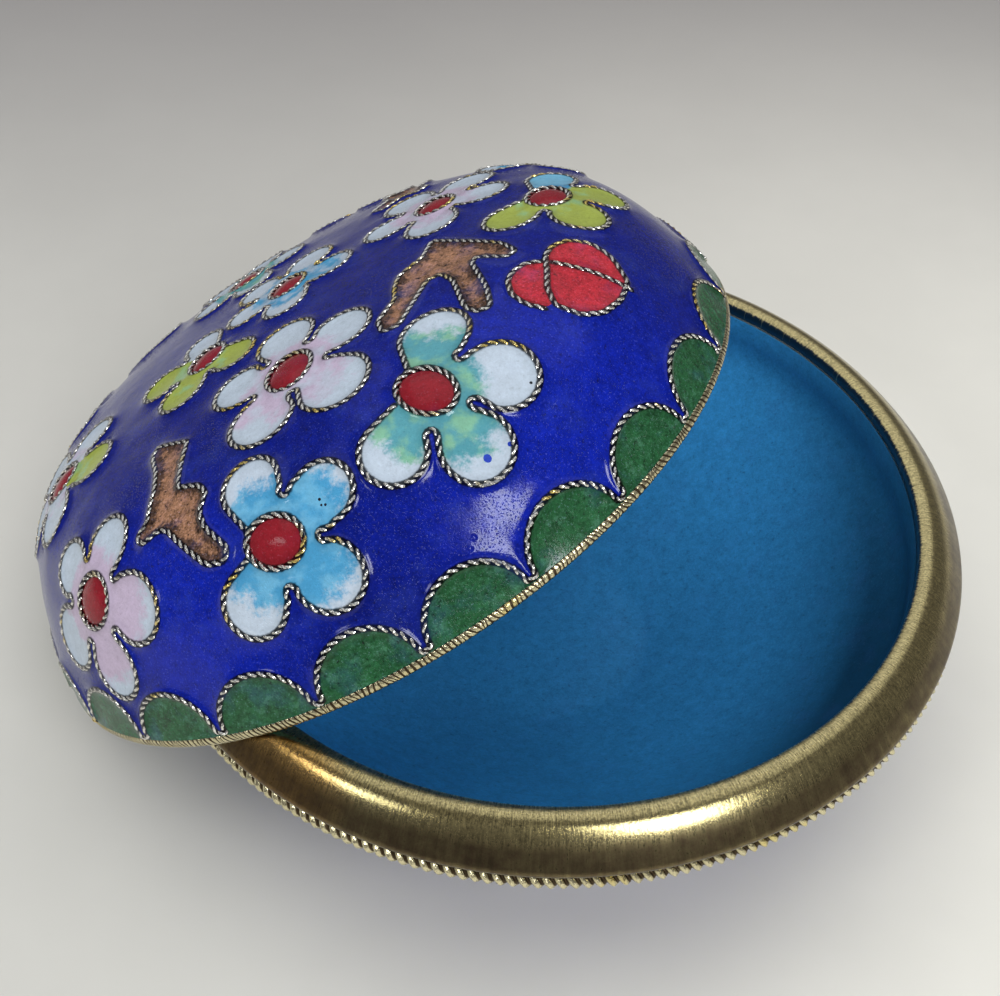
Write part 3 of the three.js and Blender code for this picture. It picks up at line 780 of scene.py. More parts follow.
def lid_enamel_mesh(wires, settings):
    """The dome's glass, cell by cell, rising where it meets a wire; and its rim's radius and height."""
    rim_height = RIM_WIRE_HEIGHT + RIM_GAP
    rim_radius = np.interp(-rim_height, -dome_height(ARC_RADII), ARC_RADII)
    rim_arc = np.interp(rim_radius, ARC_RADII, ARC_LENGTHS)
    tree = wire_tree(wires)
    plane, triangles = lid_plane_mesh(wires, tree, rim_arc)
    points = on_dome(plane)
    gap = gaps_to_wires(points, tree)
    paint, place, grain = cell_paints(wires, points, triangles, settings)
    climb = np.maximum(gap - WIRE_HALF, 0)
    rise = settings.meniscus_rise / MM * np.exp(-climb * MM / settings.meniscus_reach)
    rise += SAG * np.exp(-climb / SAG_REACH)
    for name in FLOWERS:
        eye = inside_outline(plane, to_plane(wires[f"{name}_eye_wire"][0]))
        rise[eye] = EYE_EDGE + EYE_DOME * (1 - (1 - np.minimum(climb[eye] / EYE_REACH, 1)) ** 2)
    from_rim = rim_arc - np.hypot(plane[:, 0], plane[:, 1])
    swell = np.array([noise.noise(Vector(point) / ORANGE_PEEL_SIZE) for point in points]) * ORANGE_PEEL
    for turn, arc in BUBBLES:
        away = np.linalg.norm(plane - polar(math.radians(turn), arc), axis=1) / BUBBLE_RADIUS
        swell += BUBBLE_LIP * np.exp(-(((away - 1) / BUBBLE_LIP_WIDTH) ** 2))
    free = np.clip((from_rim - RIM_FLAT) / RIM_REACH, 0, 1)
    lift = (rise + swell) * free + RIM_LIFT * np.exp(-from_rim / RIM_REACH)
    points = points + dome_normal(points) * lift[:, None]
    mesh = bpy.data.meshes.new("lid_enamel")
    mesh.from_pydata((points * MM).tolist(), [], triangles.tolist())
    corners = np.repeat(np.arange(len(triangles)), 3)
    for index, name in enumerate(("inner_glass", "outer_glass", "fleck_glass")):
        set_attribute(mesh, name, "FLOAT_COLOR", "CORNER", paint[corners, index])
    set_attribute(mesh, "petal_place", "FLOAT", "CORNER", place)
    set_attribute(mesh, "grain", "FLOAT", "CORNER", grain[corners])
    set_attribute(mesh, "wire_gap", "FLOAT", "POINT", gap)
    slant = dome_normal(np.array([[rim_radius, 0.0, 0.0]]))[0] * RIM_LIFT
    return mesh, rim_radius + slant[0], rim_height + slant[2]


def lid_lining_profile(start_height):
    """Radius and height from the rim, round the lid's edge and up its inside to the top."""
    ledge = LID_RADIUS - RIM_WIRE_DEPTH - RIM_GAP
    inner = LID_RADIUS - LID_WALL
    rows = [
        (ledge, start_height), (ledge, 0.15), (ledge - 0.1, 0.0), (inner + LID_BEVEL, 0.0),
        (inner, LID_BEVEL)]
    for ratio in np.sin(np.linspace(1.38, 0.03, LINING_RINGS)):
        height = dome_height(ratio * LID_RADIUS) * inner / LID_RADIUS - LINING_DROP
        rows.append((ratio * inner, height))
    return rows


def close_lid(lid, radius, height):
    """Extrudes the enamel's open rim round the lid's edge and along its inside, up to the top."""
    bpy.ops.object.mode_set(mode="EDIT")
    bpy.ops.mesh.select_all(action="DESELECT")
    bpy.ops.mesh.select_non_manifold()
    for next_radius, next_height in lid_lining_profile(RIM_WIRE_HEIGHT + RIM_GAP):
        bpy.ops.mesh.extrude_edges_move(
            TRANSFORM_OT_translate={"value": (0, 0, (next_height - height) * MM)})
        scale = next_radius / radius
        bpy.ops.transform.resize(value=(scale, scale, 1), center_override=(0, 0, 0))
        radius, height = next_radius, next_height
    bpy.ops.mesh.merge(type="CENTER")
    bpy.ops.mesh.select_all(action="SELECT")
    bpy.ops.mesh.normals_make_consistent(inside=False)
    bpy.ops.object.mode_set(mode="OBJECT")


# Shader helpers

def new_node(tree, kind, inputs=None, **settings):
    """Adds a node, sets its fields, and feeds its inputs with values or other nodes' sockets."""
    node = tree.nodes.new(kind)
    for field, value in settings.items():
        setattr(node, field, value)
    for socket, value in (inputs or {}).items():
        if isinstance(value, bpy.types.NodeSocket):
            tree.links.new(value, node.inputs[socket])
        else:
            node.inputs[socket].default_value = value
    return node


def math_node(tree, operation, *values):
    return new_node(tree, "ShaderNodeMath", dict(enumerate(values)), operation=operation).outputs[0]


def mix_colour(tree, factor, first, second):
    return new_node(tree, "ShaderNodeMix", {0: factor, 6: first, 7: second}, data_type="RGBA").outputs[2]


def ramp(tree, value, low, high, to_low=0.0, to_high=1.0, smooth=True):
    """A value's share of the way from low to high, as a new range."""
    kind = "SMOOTHSTEP" if smooth else "LINEAR"
    inputs = {"Value": value, "From Min": low, "From Max": high, "To Min": to_low, "To Max": to_high}
    node = new_node(tree, "ShaderNodeMapRange", inputs, interpolation_type=kind, clamp=True)
    return node.outputs["Result"]


def attribute(tree, name, output="Fac"):
    return new_node(tree, "ShaderNodeAttribute", attribute_name=name).outputs[output]


def noise_value(tree, where, size, detail, roughness):
    """Noise whose lumps measure a size in millimetres."""
    inputs = {"Vector": where, "Scale": 1 / (size * MM), "Detail": detail, "Roughness": roughness}
    return new_node(tree, "ShaderNodeTexNoise", inputs).outputs["Fac"]


def cell_texture(tree, where, size):
    return new_node(tree, "ShaderNodeTexVoronoi", {"Vector": where, "Scale": 1 / (size * MM)}).outputs


def object_place(tree):
    return new_node(tree, "ShaderNodeTexCoord").outputs["Object"]


def new_material(name):
    material = bpy.data.materials.new(name)
    material.use_nodes = True
    tree = material.node_tree
    return material, tree, tree.nodes["Principled BSDF"]


def feed(tree, shader, **links):
    for socket, source in links.items():
        tree.links.new(source, shader.inputs[socket.replace("_", " ")])


def new_group(name, inputs, outputs):
    """An empty shader group with its sockets made; returns it with its input and output nodes."""
    group = bpy.data.node_groups.new(name, "ShaderNodeTree")
    for label, kind, default in inputs:
        socket = group.interface.new_socket(label, in_out="INPUT", socket_type=kind)
        if default is not None:
            socket.default_value = default
    for label, kind in outputs:
        group.interface.new_socket(label, in_out="OUTPUT", socket_type=kind)
    return group, group.nodes.new("NodeGroupInput").outputs, group.nodes.new("NodeGroupOutput")


def use_group(tree, name, inputs):
    return new_node(tree, "ShaderNodeGroup", inputs, node_tree=bpy.data.node_groups[name]).outputs


def times(tree, value, amount):
    return math_node(tree, "MULTIPLY", value, amount)


def spread(tree, value, amount):
    """A value around one half, made to swing round nought by an amount."""
    return times(tree, math_node(tree, "SUBTRACT", value, 0.5), amount)


def total(tree, *values):
    result = values[0]
    for value in values[1:]:
        result = math_node(tree, "ADD", result, value)
    return result


def darken(tree, colour, share):
    return new_node(tree, "ShaderNodeHueSaturation", {"Color": colour, "Value": share}).outputs[0]


def vector_node(tree, operation, *values):
    inputs = dict(enumerate(values))
    return new_node(tree, "ShaderNodeVectorMath", inputs, operation=operation).outputs


def surface_bump(tree, height):
    """The normal of a surface whose relief is given in millimetres."""
    return new_node(tree, "ShaderNodeBump", {"Height": height, "Strength": 1.0, "Distance": MM}).outputs[0]


# Sizes of the marks in fired glass, in millimetres, and the colours that they bring
POWDER_SIZE = 0.13
GRIT_SIZE = 0.3
CLOUD_SIZE = 0.9
VEIL_SIZE = 2.6
WAVE_SIZE = 2.4
PIT_SPACING = 0.15
BUBBLE_SPACING = 1.3
SPECK_COLOUR = srgb(170, 184, 232)
VEIL_COLOUR = srgb(80, 104, 190)
SOOT_COLOUR = srgb(20, 16, 24)
BUBBLE_COLOUR = srgb(24, 26, 50)


def fired_glass_group():
    """Specks, bubbles and gentle waves of glass that was ground, laid wet and fired."""
    group, given, result = new_group(
        "Fired glass",
        [("Place", "NodeSocketVector", None), ("Colour", "NodeSocketColor", None),
         ("Grain", "NodeSocketFloat", 0.3), ("Pitting", "NodeSocketFloat", 1.0)],
        [("Colour", "NodeSocketColor"), ("Rough", "NodeSocketFloat"), ("Height", "NodeSocketFloat")])
    place, grain = given["Place"], given["Grain"]
    fine = noise_value(group, place, POWDER_SIZE, 2.0, 0.7)
    grit = noise_value(group, place, GRIT_SIZE, 2.0, 0.6)
    cloud = noise_value(group, place, CLOUD_SIZE, 4.0, 0.6)
    uneven = total(group, spread(group, fine, 2.4), spread(group, cloud, 2.4), spread(group, grit, 2.0))
    colour = darken(group, given["Colour"], total(group, 1.0, times(group, grain, uneven)))
    specks = times(group, times(group, ramp(group, fine, 0.6, 0.76), grain), 0.3)
    colour = mix_colour(group, specks, colour, SPECK_COLOUR)
    veil = ramp(group, noise_value(group, place, VEIL_SIZE, 5.0, 0.62), 0.48, 0.72)
    colour = mix_colour(group, times(group, veil, times(group, grain, 0.2)), colour, VEIL_COLOUR)
    soot = times(group, ramp(group, grit, 0.34, 0.27), grain)
    colour = mix_colour(group, soot, colour, SOOT_COLOUR)
    cells = cell_texture(group, place, BUBBLE_SPACING)
    lot = new_node(group, "ShaderNodeSeparateColor", {"Color": cells["Color"]}).outputs[0]
    bubble = times(group, ramp(group, lot, 0.8, 0.81), ramp(group, cells["Distance"], 0.05, 0.03))
    colour = mix_colour(group, times(group, bubble, 0.55), colour, BUBBLE_COLOUR)
    pits = ramp(group, cell_texture(group, place, PIT_SPACING)["Distance"], 0.36, 0.1, 0.0, -0.014)
    wave = noise_value(group, place, WAVE_SIZE, 1.0, 0.4)
    grainy = total(group, times(group, fine, 0.008), pits)
    height = total(group, times(group, wave, 0.06), times(group, grainy, given["Pitting"]))
    rough = total(group, 0.09, spread(group, cloud, 0.1), times(group, grain, 0.06))
    group.links.new(colour, result.inputs["Colour"])
    group.links.new(rough, result.inputs["Rough"])
    group.links.new(height, result.inputs["Height"])
    return group


# Sizes of the marks on the metal, in millimetres
PATCH_SIZE = 1.1
GILDING_SIZE = 4.0
SCRATCH_SIZE = 0.07
DENT_SIZE = 0.3
BRUSH_SIZE = 0.09
STREAK_SIZE = 0.4
TARNISH_SIZE = 3.5
METAL_GRIT_SIZE = 0.16


def aged_metal_group():
    """Darkening of brass and gilt by a dark film where the age given is high: in the hollows, and, as dirt
    and painted shade, away from the rubbed crests.
    """
    group, given, result = new_group(
        "Aged metal",
        [("Place", "NodeSocketVector", None), ("Bright", "NodeSocketColor", None),
         ("Dark", "NodeSocketColor", None), ("Age", "NodeSocketFloat", 0.5),
         ("Patchy", "NodeSocketFloat", 0.9)],
        [("Colour", "NodeSocketColor"), ("Film", "NodeSocketFloat")])
    patches = noise_value(group, given["Place"], PATCH_SIZE, 4.0, 0.62)
    film = math_node(group, "ADD", given["Age"], spread(group, patches, given["Patchy"]))
    film = ramp(group, film, 0.25, 0.85)
    colour = mix_colour(group, film, given["Bright"], given["Dark"])
    group.links.new(colour, result.inputs["Colour"])
    group.links.new(film, result.inputs["Film"])
    return group


def glass_surface(tree, shader, place, colour, grain, roughness=0.0, pitting=1.0):
    """Feeds a shader with fired glass of a colour."""
    fired = use_group(
        tree, "Fired glass", {"Place": place, "Colour": colour, "Grain": grain, "Pitting": pitting})
    rough = math_node(tree, "ADD", fired["Rough"], roughness)
    normal = surface_bump(tree, fired["Height"])
    feed(tree, shader, Base_Color=fired["Colour"], Roughness=rough, Normal=normal)
    shader.inputs["IOR"].default_value = 1.5
    shader.inputs["Specular IOR Level"].default_value = 0.26


def cells_of(tree, grain, kind):
    """1 in the cells that have a kind's grain, and 0 in the rest."""
    level = GRAINS[kind]
    above = ramp(tree, grain, level - 0.05, level - 0.02)
    return times(tree, above, ramp(tree, grain, level + 0.05, level + 0.02))


# Sizes of the powders where two glasses meet, in millimetres, and the colour of scorched bark
BORDER_SIZE = 1.4
BORDER_POWDER_SIZE = 0.2
FLECK_SIZE = 1.5
LEAF_MOTTLE_SIZE = 0.7
SCORCH_SIZE = 0.55
SCORCH_COLOUR = srgb(52, 38, 34)

# Places where the lid's cobalt is paler, each with the distances at which that ends and is full
PALE_PLACES = [((0.0009, -0.0098, 0.0343), 0.017, 0.004), ((-0.0224, -0.0179, 0.0250), 0.012, 0.003)]
DEEPEST_COBALT = 0.42


def lid_enamel_material():
    """Glass of many colours, with ragged borders where two colours were laid side by side."""
    material, tree, shader = new_material("Lid enamel")
    place = object_place(tree)
    inner, outer, fleck = (
        attribute(tree, f"{name}_glass", "Color") for name in ("inner", "outer", "fleck"))
    petal, grain, gap = (attribute(tree, name) for name in ("petal_place", "grain", "wire_gap"))
    ragged = noise_value(tree, place, BORDER_SIZE, 4.0, 0.62)
    powder = noise_value(tree, place, BORDER_POWDER_SIZE, 2.0, 0.6)
    border = total(tree, petal, spread(tree, ragged, 0.48), spread(tree, powder, 0.16))
    patches = total(tree, noise_value(tree, place, FLECK_SIZE, 2.0, 0.55), spread(tree, powder, 0.14))
    flecked = mix_colour(tree, ramp(tree, patches, 0.42, 0.66, 0.0, 0.7), inner, fleck)
    colour = mix_colour(tree, ramp(tree, border, 0.49, 0.64), flecked, outer)
    mottle = ramp(tree, noise_value(tree, place, LEAF_MOTTLE_SIZE, 3.0, 0.65), 0.5, 0.72, 0.0, 0.4)
    colour = mix_colour(tree, times(tree, mottle, cells_of(tree, grain, "leaf")), colour, fleck)
    scorched = noise_value(tree, place, SCORCH_SIZE, 4.0, 0.65)
    scorched = total(tree, scorched, ramp(tree, gap, 0.2, 1.1, 0.22, -0.1))
    scorched = times(tree, ramp(tree, scorched, 0.5, 0.72, 0.0, 0.85), cells_of(tree, grain, "bark"))
    colour = mix_colour(tree, scorched, colour, SCORCH_COLOUR)
    pale = [ramp(tree, vector_node(tree, "DISTANCE", place, middle)["Value"], end, full)
            for middle, end, full in PALE_PLACES]
    deep = ramp(tree, math_node(tree, "MAXIMUM", *pale), 0.0, 1.0, DEEPEST_COBALT, 0.0, smooth=False)
    deep = times(tree, cells_of(tree, grain, "ground"), deep)
    colour = darken(tree, colour, math_node(tree, "SUBTRACT", 1.0, deep))
    # Glass beside the wires is darkened: a nearly black line at each wire's foot, partly dirt and partly
    # painted shade, times a wider painted shade that fades out by 0.9 mm
    tight = ramp(tree, total(tree, gap, spread(tree, powder, 0.12)), 0.16, 0.3, 0.05, 1.0)
    painted_wire_shade = ramp(tree, gap, 0.25, 0.9, 0.88, 1.0)
    colour = darken(tree, colour, times(tree, tight, painted_wire_shade))
    glass_surface(tree, shader, place, colour, grain, pitting=ramp(tree, gap, 0.3, 0.9, 0.1, 1.0))
    return material


def lining_material(settings):
    """Turquoise glass inside the box, satin, with faint clouds; a piece's shadow attribute darkens it as
    painted shade, and below nought pales it as painted light.
    """
    material, tree, shader = new_material("Turquoise lining")
    kept = math_node(tree, "SUBTRACT", 1.0, attribute(tree, "shadow"))
    colour = darken(tree, tuple(settings.turquoise), kept)
    glass_surface(tree, shader, object_place(tree), colour, 0.25, roughness=0.3, pitting=0.0)
    return material


def bowl_enamel_material(settings):
    """Cobalt outside the bowl, with green inside the scallops under its rope."""
    material, tree, shader = new_material("Bowl enamel")
    inside = ramp(tree, attribute(tree, "scallop"), -0.01, 0.01)
    colour = mix_colour(tree, inside, tuple(settings.cobalt), tuple(settings.leaf))
    glass_surface(tree, shader, object_place(tree), colour, 0.3)
    return material


# Each gilding: rubbed, warm and dark colours, age, height of dents and patchiness
GILT = {
    "Gilt wire": (srgb(246, 244, 236), srgb(240, 214, 130), srgb(46, 40, 38), -0.05, 0.004, 0.9),
    "Gilt rope": (srgb(222, 212, 172), srgb(226, 208, 140), srgb(84, 70, 52), -0.04, 0.06, 2.0),
}


def wire_material(name, bright, warm, dark, age, dents, patchy):
    """Twisted gilt wire: rubbed crests, nearly black crevices, and sides darkened below the crest by dirt
    and painted shade.
    """
    material, tree, shader = new_material(name)
    place = object_place(tree)
    hidden = ramp(tree, attribute(tree, "crevice"), 0.25, 0.85)
    # Below its crest a wire is darkened, partly dirt by the glass and partly painted shade; the crevices'
    # dark film is patina
    low = ramp(tree, attribute(tree, "crest"), 0.6, -0.1)
    gilding = ramp(tree, noise_value(tree, place, GILDING_SIZE, 3.0, 0.6), 0.56, 0.66)
    aged = use_group(tree, "Aged metal", {
        "Place": place, "Bright": mix_colour(tree, gilding, bright, warm), "Dark": dark,
        "Age": total(tree, hidden, low, age), "Patchy": patchy})
    rough = ramp(tree, aged["Film"], 0.0, 1.0, 0.25, 0.5)
    scratch = noise_value(tree, place, SCRATCH_SIZE, 2.0, 0.6)
    dented = noise_value(tree, place, DENT_SIZE, 3.0, 0.65)
    height = total(tree, times(tree, scratch, 0.0025), times(tree, dented, dents))
    feed(tree, shader, Base_Color=aged["Colour"], Roughness=rough, Normal=surface_bump(tree, height))
    shader.inputs["Metallic"].default_value = 1.0
    return material


# The collar's metals, a paler brass on its inner part as a painted sheen, the glass on its inner edge, and
# a place where heat has turned it golden
BRASS = srgb(186, 172, 120)
PAINTED_SHEEN_BRASS = srgb(218, 202, 146)
HEATED_BRASS = srgb(204, 164, 96)
TARNISHED_BRASS = srgb(76, 61, 45)
LAPPING_GLASS = srgb(16, 34, 48)
HEATED_PLACE = (-0.0172, -0.0233, 0.0176)


def collar_material(settings):
    """Brushed brass, tarnished outwards and paler on its inner part as a painted sheen, with ragged glass
    lapping its inner edge.
    """
    material, tree, shader = new_material("Collar brass")
    place = object_place(tree)
    split = new_node(tree, "ShaderNodeSeparateXYZ", {0: place}).outputs
    flat = new_node(tree, "ShaderNodeCombineXYZ", {0: split[0], 1: split[1]}).outputs[0]
    radius = vector_node(tree, "LENGTH", flat)["Value"]
    share = ramp(tree, radius, (BOX_RADIUS - COLLAR_WIDTH) * MM, BOX_RADIUS * MM, smooth=False)
    around = new_node(
        tree, "ShaderNodeVectorMath", {0: vector_node(tree, "NORMALIZE", flat)[0], 3: BOX_RADIUS * MM},
        operation="SCALE").outputs[0]
    drift = new_node(tree, "ShaderNodeCombineXYZ", {2: times(tree, radius, 0.12)}).outputs[0]
    lane = vector_node(tree, "ADD", around, drift)[0]
    brush = noise_value(tree, lane, BRUSH_SIZE, 3.0, 0.75)
    streaks = noise_value(tree, lane, STREAK_SIZE, 4.0, 0.7)
    clouds = noise_value(tree, place, TARNISH_SIZE, 5.0, 0.65)
    grit = noise_value(tree, place, METAL_GRIT_SIZE, 3.0, 0.75)
    age = total(
        tree, ramp(tree, share, 0.34, 0.76, 0.1, 0.92, smooth=False), spread(tree, clouds, 0.3),
        spread(tree, streaks, 0.3), spread(tree, brush, 0.4), spread(tree, grit, 0.7))
    age = times(tree, age, settings.tarnish)
    from_heat = total(
        tree, vector_node(tree, "DISTANCE", place, HEATED_PLACE)["Value"], spread(tree, clouds, 0.004))
    inner = ramp(tree, share, 0.4, 0.12)
    # Painted sheen: the inner part of the collar is mixed towards a paler brass
    bright = mix_colour(tree, inner, BRASS, PAINTED_SHEEN_BRASS)
    bright = mix_colour(tree, ramp(tree, from_heat, 0.006, 0.002), bright, HEATED_BRASS)
    bright = darken(tree, bright, total(tree, 1.0, spread(tree, brush, 2.2), spread(tree, grit, 2.2)))
    dark = total(tree, 1.0, spread(tree, brush, 1.6), spread(tree, grit, 2.2))
    dark = darken(tree, TARNISHED_BRASS, dark)
    aged = use_group(tree, "Aged metal", {
        "Place": place, "Bright": bright, "Dark": dark, "Age": age, "Patchy": 0.3})
    lap = total(tree, share, spread(tree, brush, 0.16), spread(tree, streaks, 0.1))
    bare = ramp(tree, lap, 0.03, 0.04)
    colour = mix_colour(tree, bare, LAPPING_GLASS, aged["Colour"])
    rough = total(
        tree, ramp(tree, aged["Film"], 0.0, 1.0, 0.18, 0.36), spread(tree, brush, 0.12),
        times(tree, inner, 0.12))
    ridges = total(
        tree, times(tree, brush, 0.004), times(tree, streaks, 0.006),
        times(tree, grit, ramp(tree, inner, 0.0, 1.0, 0.008, 0.022)))
    feed(tree, shader, Base_Color=colour, Roughness=rough, Metallic=bare, Normal=surface_bump(tree, ridges))
    around_axis = new_node(tree, "ShaderNodeTangent", direction_type="RADIAL", axis="Z")
    feed(tree, shader, Tangent=around_axis.outputs[0])
    shader.inputs["Anisotropic"].default_value = 0.2
    shader.inputs["Coat Weight"].default_value = 0.2
    shader.inputs["Coat Roughness"].default_value = 0.3
    return material


# The floor's tones: painted shade at the left and painted light at the right, and its tone at the back, in
# front of which the box stands
FLOOR_PAINTED_SHADE_LEFT = srgb(207, 204, 195)
FLOOR_PAINTED_LIGHT_RIGHT = srgb(238, 234, 222)
FLOOR_BACK = srgb(132, 127, 126)
FLOOR_MOTTLE_SIZE = 30


def floor_material():
    """A plain pale floor with a faint mottle, painted light that makes it paler towards the right, and a
    darker back.
    """
    material, tree, shader = new_material("Pale floor")
    place = object_place(tree)
    mottle = noise_value(tree, place, FLOOR_MOTTLE_SIZE, 4.0, 0.6)
    split = new_node(tree, "ShaderNodeSeparateXYZ", {0: place}).outputs
    # Painted light: the floor is mixed from a darker tone at the left to a paler one at the right
    near = mix_colour(tree, ramp(tree, split["X"], -0.045, 0.035), FLOOR_PAINTED_SHADE_LEFT, FLOOR_PAINTED_LIGHT_RIGHT)
    near = darken(tree, near, ramp(tree, mottle, 0.3, 0.7, 0.97, 1.03))
    tone = mix_colour(tree, ramp(tree, split["Y"], 0.0, 0.16), near, FLOOR_BACK)
    feed(tree, shader, Base_Color=tone)
    shader.inputs["Roughness"].default_value = 0.6
    return material


# Operators, one for each piece or group of like pieces

def settings_of(context):
    return context.scene.trinket_box


class BOX_OT_finishes(bpy.types.Operator):
    """Mixes the glass, brass and gilt that the pieces share"""
    bl_idname = "trinket_box.finishes"
    bl_label = "Glass and metal finishes"

    def execute(self, context):
        settings = settings_of(context)
        fired_glass_group()
        aged_metal_group()
        lid_enamel_material()
        lining_material(settings)
        bowl_enamel_material(settings)
        collar_material(settings)
        for name, look in GILT.items():
            wire_material(name, *look)
        return {"FINISHED"}


def ball_centre():
    return (BOWL_RADIUS**2 + BOWL_SHOULDER**2 - BOWL_FOOT_RADIUS**2) / (2 * BOWL_SHOULDER)


def bowl_radius(height, inset=0.0):
    ball = math.hypot(BOWL_FOOT_RADIUS, ball_centre())
    return np.sqrt((ball - inset) ** 2 - (ball_centre() - height) ** 2)


# Painted shade: the lining is darker under the collar, most at one bearing, and painted light makes it
# paler down the side across from it
SHADE_BEARING = math.radians(-32)
SHADE_FOCUS = 2.2
SHADE_DEPTH = 0.84
LIT_GAIN = 0.4


def lining_shadow(points):
    """How much painted shade darkens the lining at points in millimetres, or how much painted light pales
    it if below 0.
    """
    bearing = np.arctan2(points[:, 1], points[:, 0])
    side = (0.5 + 0.5 * np.cos(bearing - SHADE_BEARING)) ** SHADE_FOCUS
    rise = np.clip((points[:, 2] - 9 + 4.5 * side) / 7, 0, 1)
    lit = (1 - side) * np.clip((points[:, 2] - 3) / 8, 0, 1)
    return SHADE_DEPTH * side * rise**1.3 - LIT_GAIN * lit


class BOX_OT_base_bowl(bpy.types.Operator):
    """Spins the bowl: enamel outside, turquoise lining inside"""
    bl_idname = "trinket_box.base_bowl"
    bl_label = "Base bowl"

    def execute(self, context):
        mouth = BOX_RADIUS - COLLAR_WIDTH - 0.1
        collar_under = BASE_HEIGHT - COLLAR_THICKNESS
        ball = math.hypot(BOWL_FOOT_RADIUS, ball_centre())
        neck = ball_centre() - math.sqrt((ball - BOWL_WALL) ** 2 - mouth**2)
        outside = [(bowl_radius(z), z) for z in BOWL_SHOULDER * np.linspace(0, 1, 40) ** 1.4]
        inside = [(bowl_radius(z, BOWL_WALL), z)
                  for z in BOWL_FLOOR + 0.06 + (neck - 0.5 - BOWL_FLOOR) * np.linspace(1, 0, 40) ** 1.4]
        profile = [
            (0, 0), (BOWL_FOOT_RADIUS / 2, 0), *outside,
            (BOWL_RADIUS, BOWL_SHOULDER + 0.3), (BOWL_RADIUS - 0.05, BOWL_SHOULDER + 0.6),
            (mouth + 0.1, collar_under - 0.08), (mouth, collar_under - 0.2),
            (mouth, neck + 1.2), (mouth - 0.02, neck + 0.4), *inside, (inside[-1][0] - 1.2, BOWL_FLOOR),
            (inside[-1][0] / 2, BOWL_FLOOR), (0, BOWL_FLOOR)]
        bowl = spun_piece("base_bowl_enamel", profile, 192)
        bowl.data.materials.append(bpy.data.materials["Bowl enamel"])
        bowl.data.materials.append(bpy.data.materials["Turquoise lining"])
        for face in bowl.data.polygons:
            x, y, z = face.center / MM
            middle = bowl_radius(max(z, 0.0), BOWL_WALL / 2)
            lined = z > BOWL_FLOOR / 2 and math.hypot(x, y) < middle
            face.material_index = 1 if lined else 0
        points = coordinates(bowl.data) / MM
        set_attribute(bowl.data, "shadow", "FLOAT", "POINT", lining_shadow(points))
        set_attribute(bowl.data, "scallop", "FLOAT", "POINT", self.scallop_field(points))
        finish_piece(bowl, "base_bowl")
        return {"FINISHED"}

    @staticmethod
    def scallop_field(points):
        """Above 0 inside a scallop under the bowl's rope, and below 0 outside."""
        ball = math.hypot(BOWL_FOOT_RADIUS, ball_centre())
        shoulder = math.asin((ball_centre() - BOWL_SHOULDER) / ball)
        fall = np.arcsin(np.clip((ball_centre() - points[:, 2]) / ball, -1, 1))
        below = (fall - shoulder) * ball - ROPE_HEIGHT / 2 - SCALLOP_FOOT
        pitch = 2 * math.pi / SCALLOP_COUNT
        turn = np.arctan2(points[:, 1], points[:, 0]) - SCALLOP_START
        across = (turn / pitch) % 1 * 2 - 1
        field = 1 - across**2 - (np.maximum(below, 0) / SCALLOP_HEIGHT) ** 2
        return np.where(points[:, 2] > BOWL_SHOULDER, 1, field)


def collar_top(share):
    bulge = COLLAR_CROWN * math.sin(math.pi * share**0.8)
    return BOX_RADIUS - COLLAR_WIDTH * (1 - share), BASE_HEIGHT - COLLAR_DROP * share**1.5 + bulge


class BOX_OT_collar(bpy.types.Operator):
    """Spins the broad convex brass collar on the bowl's mouth"""
    bl_idname = "trinket_box.collar"
    bl_label = "Brass collar"

    def execute(self, context):
        top = [collar_top(share) for share in np.linspace(0.02, 0.985, 30)]
        edge = BASE_HEIGHT - COLLAR_DROP
        under = [
            (BOX_RADIUS, edge - 0.08), (BOX_RADIUS - 0.02, edge - 0.25), (BOX_RADIUS - 0.15, edge - 0.35),
            (BOX_RADIUS - COLLAR_WIDTH + 0.1, BASE_HEIGHT - COLLAR_THICKNESS),
            (BOX_RADIUS - COLLAR_WIDTH, BASE_HEIGHT - COLLAR_THICKNESS + 0.1),
            (BOX_RADIUS - COLLAR_WIDTH - 0.01, BASE_HEIGHT - 0.1)]
        collar = spun_piece("brass_collar", top + under, 256)
        collar.data.materials.append(bpy.data.materials["Collar brass"])
        finish_piece(collar, "collar", smooth=math.radians(50))
        return {"FINISHED"}


def circle_path(radius, height):
    count = round(2 * math.pi * radius / PATH_STEP)
    turns = 2 * math.pi * np.arange(count) / count
    return np.column_stack([radius * np.cos(turns), radius * np.sin(turns), np.full(count, height)])


ROPE_LUMP = 1.1
ROPE_DRIFT = 0.45


def flatten_rope(rope, low, high, outer):
    """Presses a rope unevenly between two heights and against an outer radius, in millimetres."""
    points = coordinates(rope.data) / MM
    lumps = np.array([noise.noise(Vector(point) / ROPE_LUMP) for point in points])
    radius = np.hypot(points[:, 0], points[:, 1])
    turn = np.arctan2(points[:, 1], points[:, 0]) + lumps * ROPE_DRIFT / LID_RADIUS
    pressed = np.minimum(radius, outer + (0.2 + 0.3 * lumps) * (radius - outer))
    points[:, :2] = pressed[:, None] * np.column_stack([np.cos(turn), np.sin(turn)])
    points[:, 2] = np.clip(points[:, 2], low, high)
    set_coordinates(rope.data, points * MM)


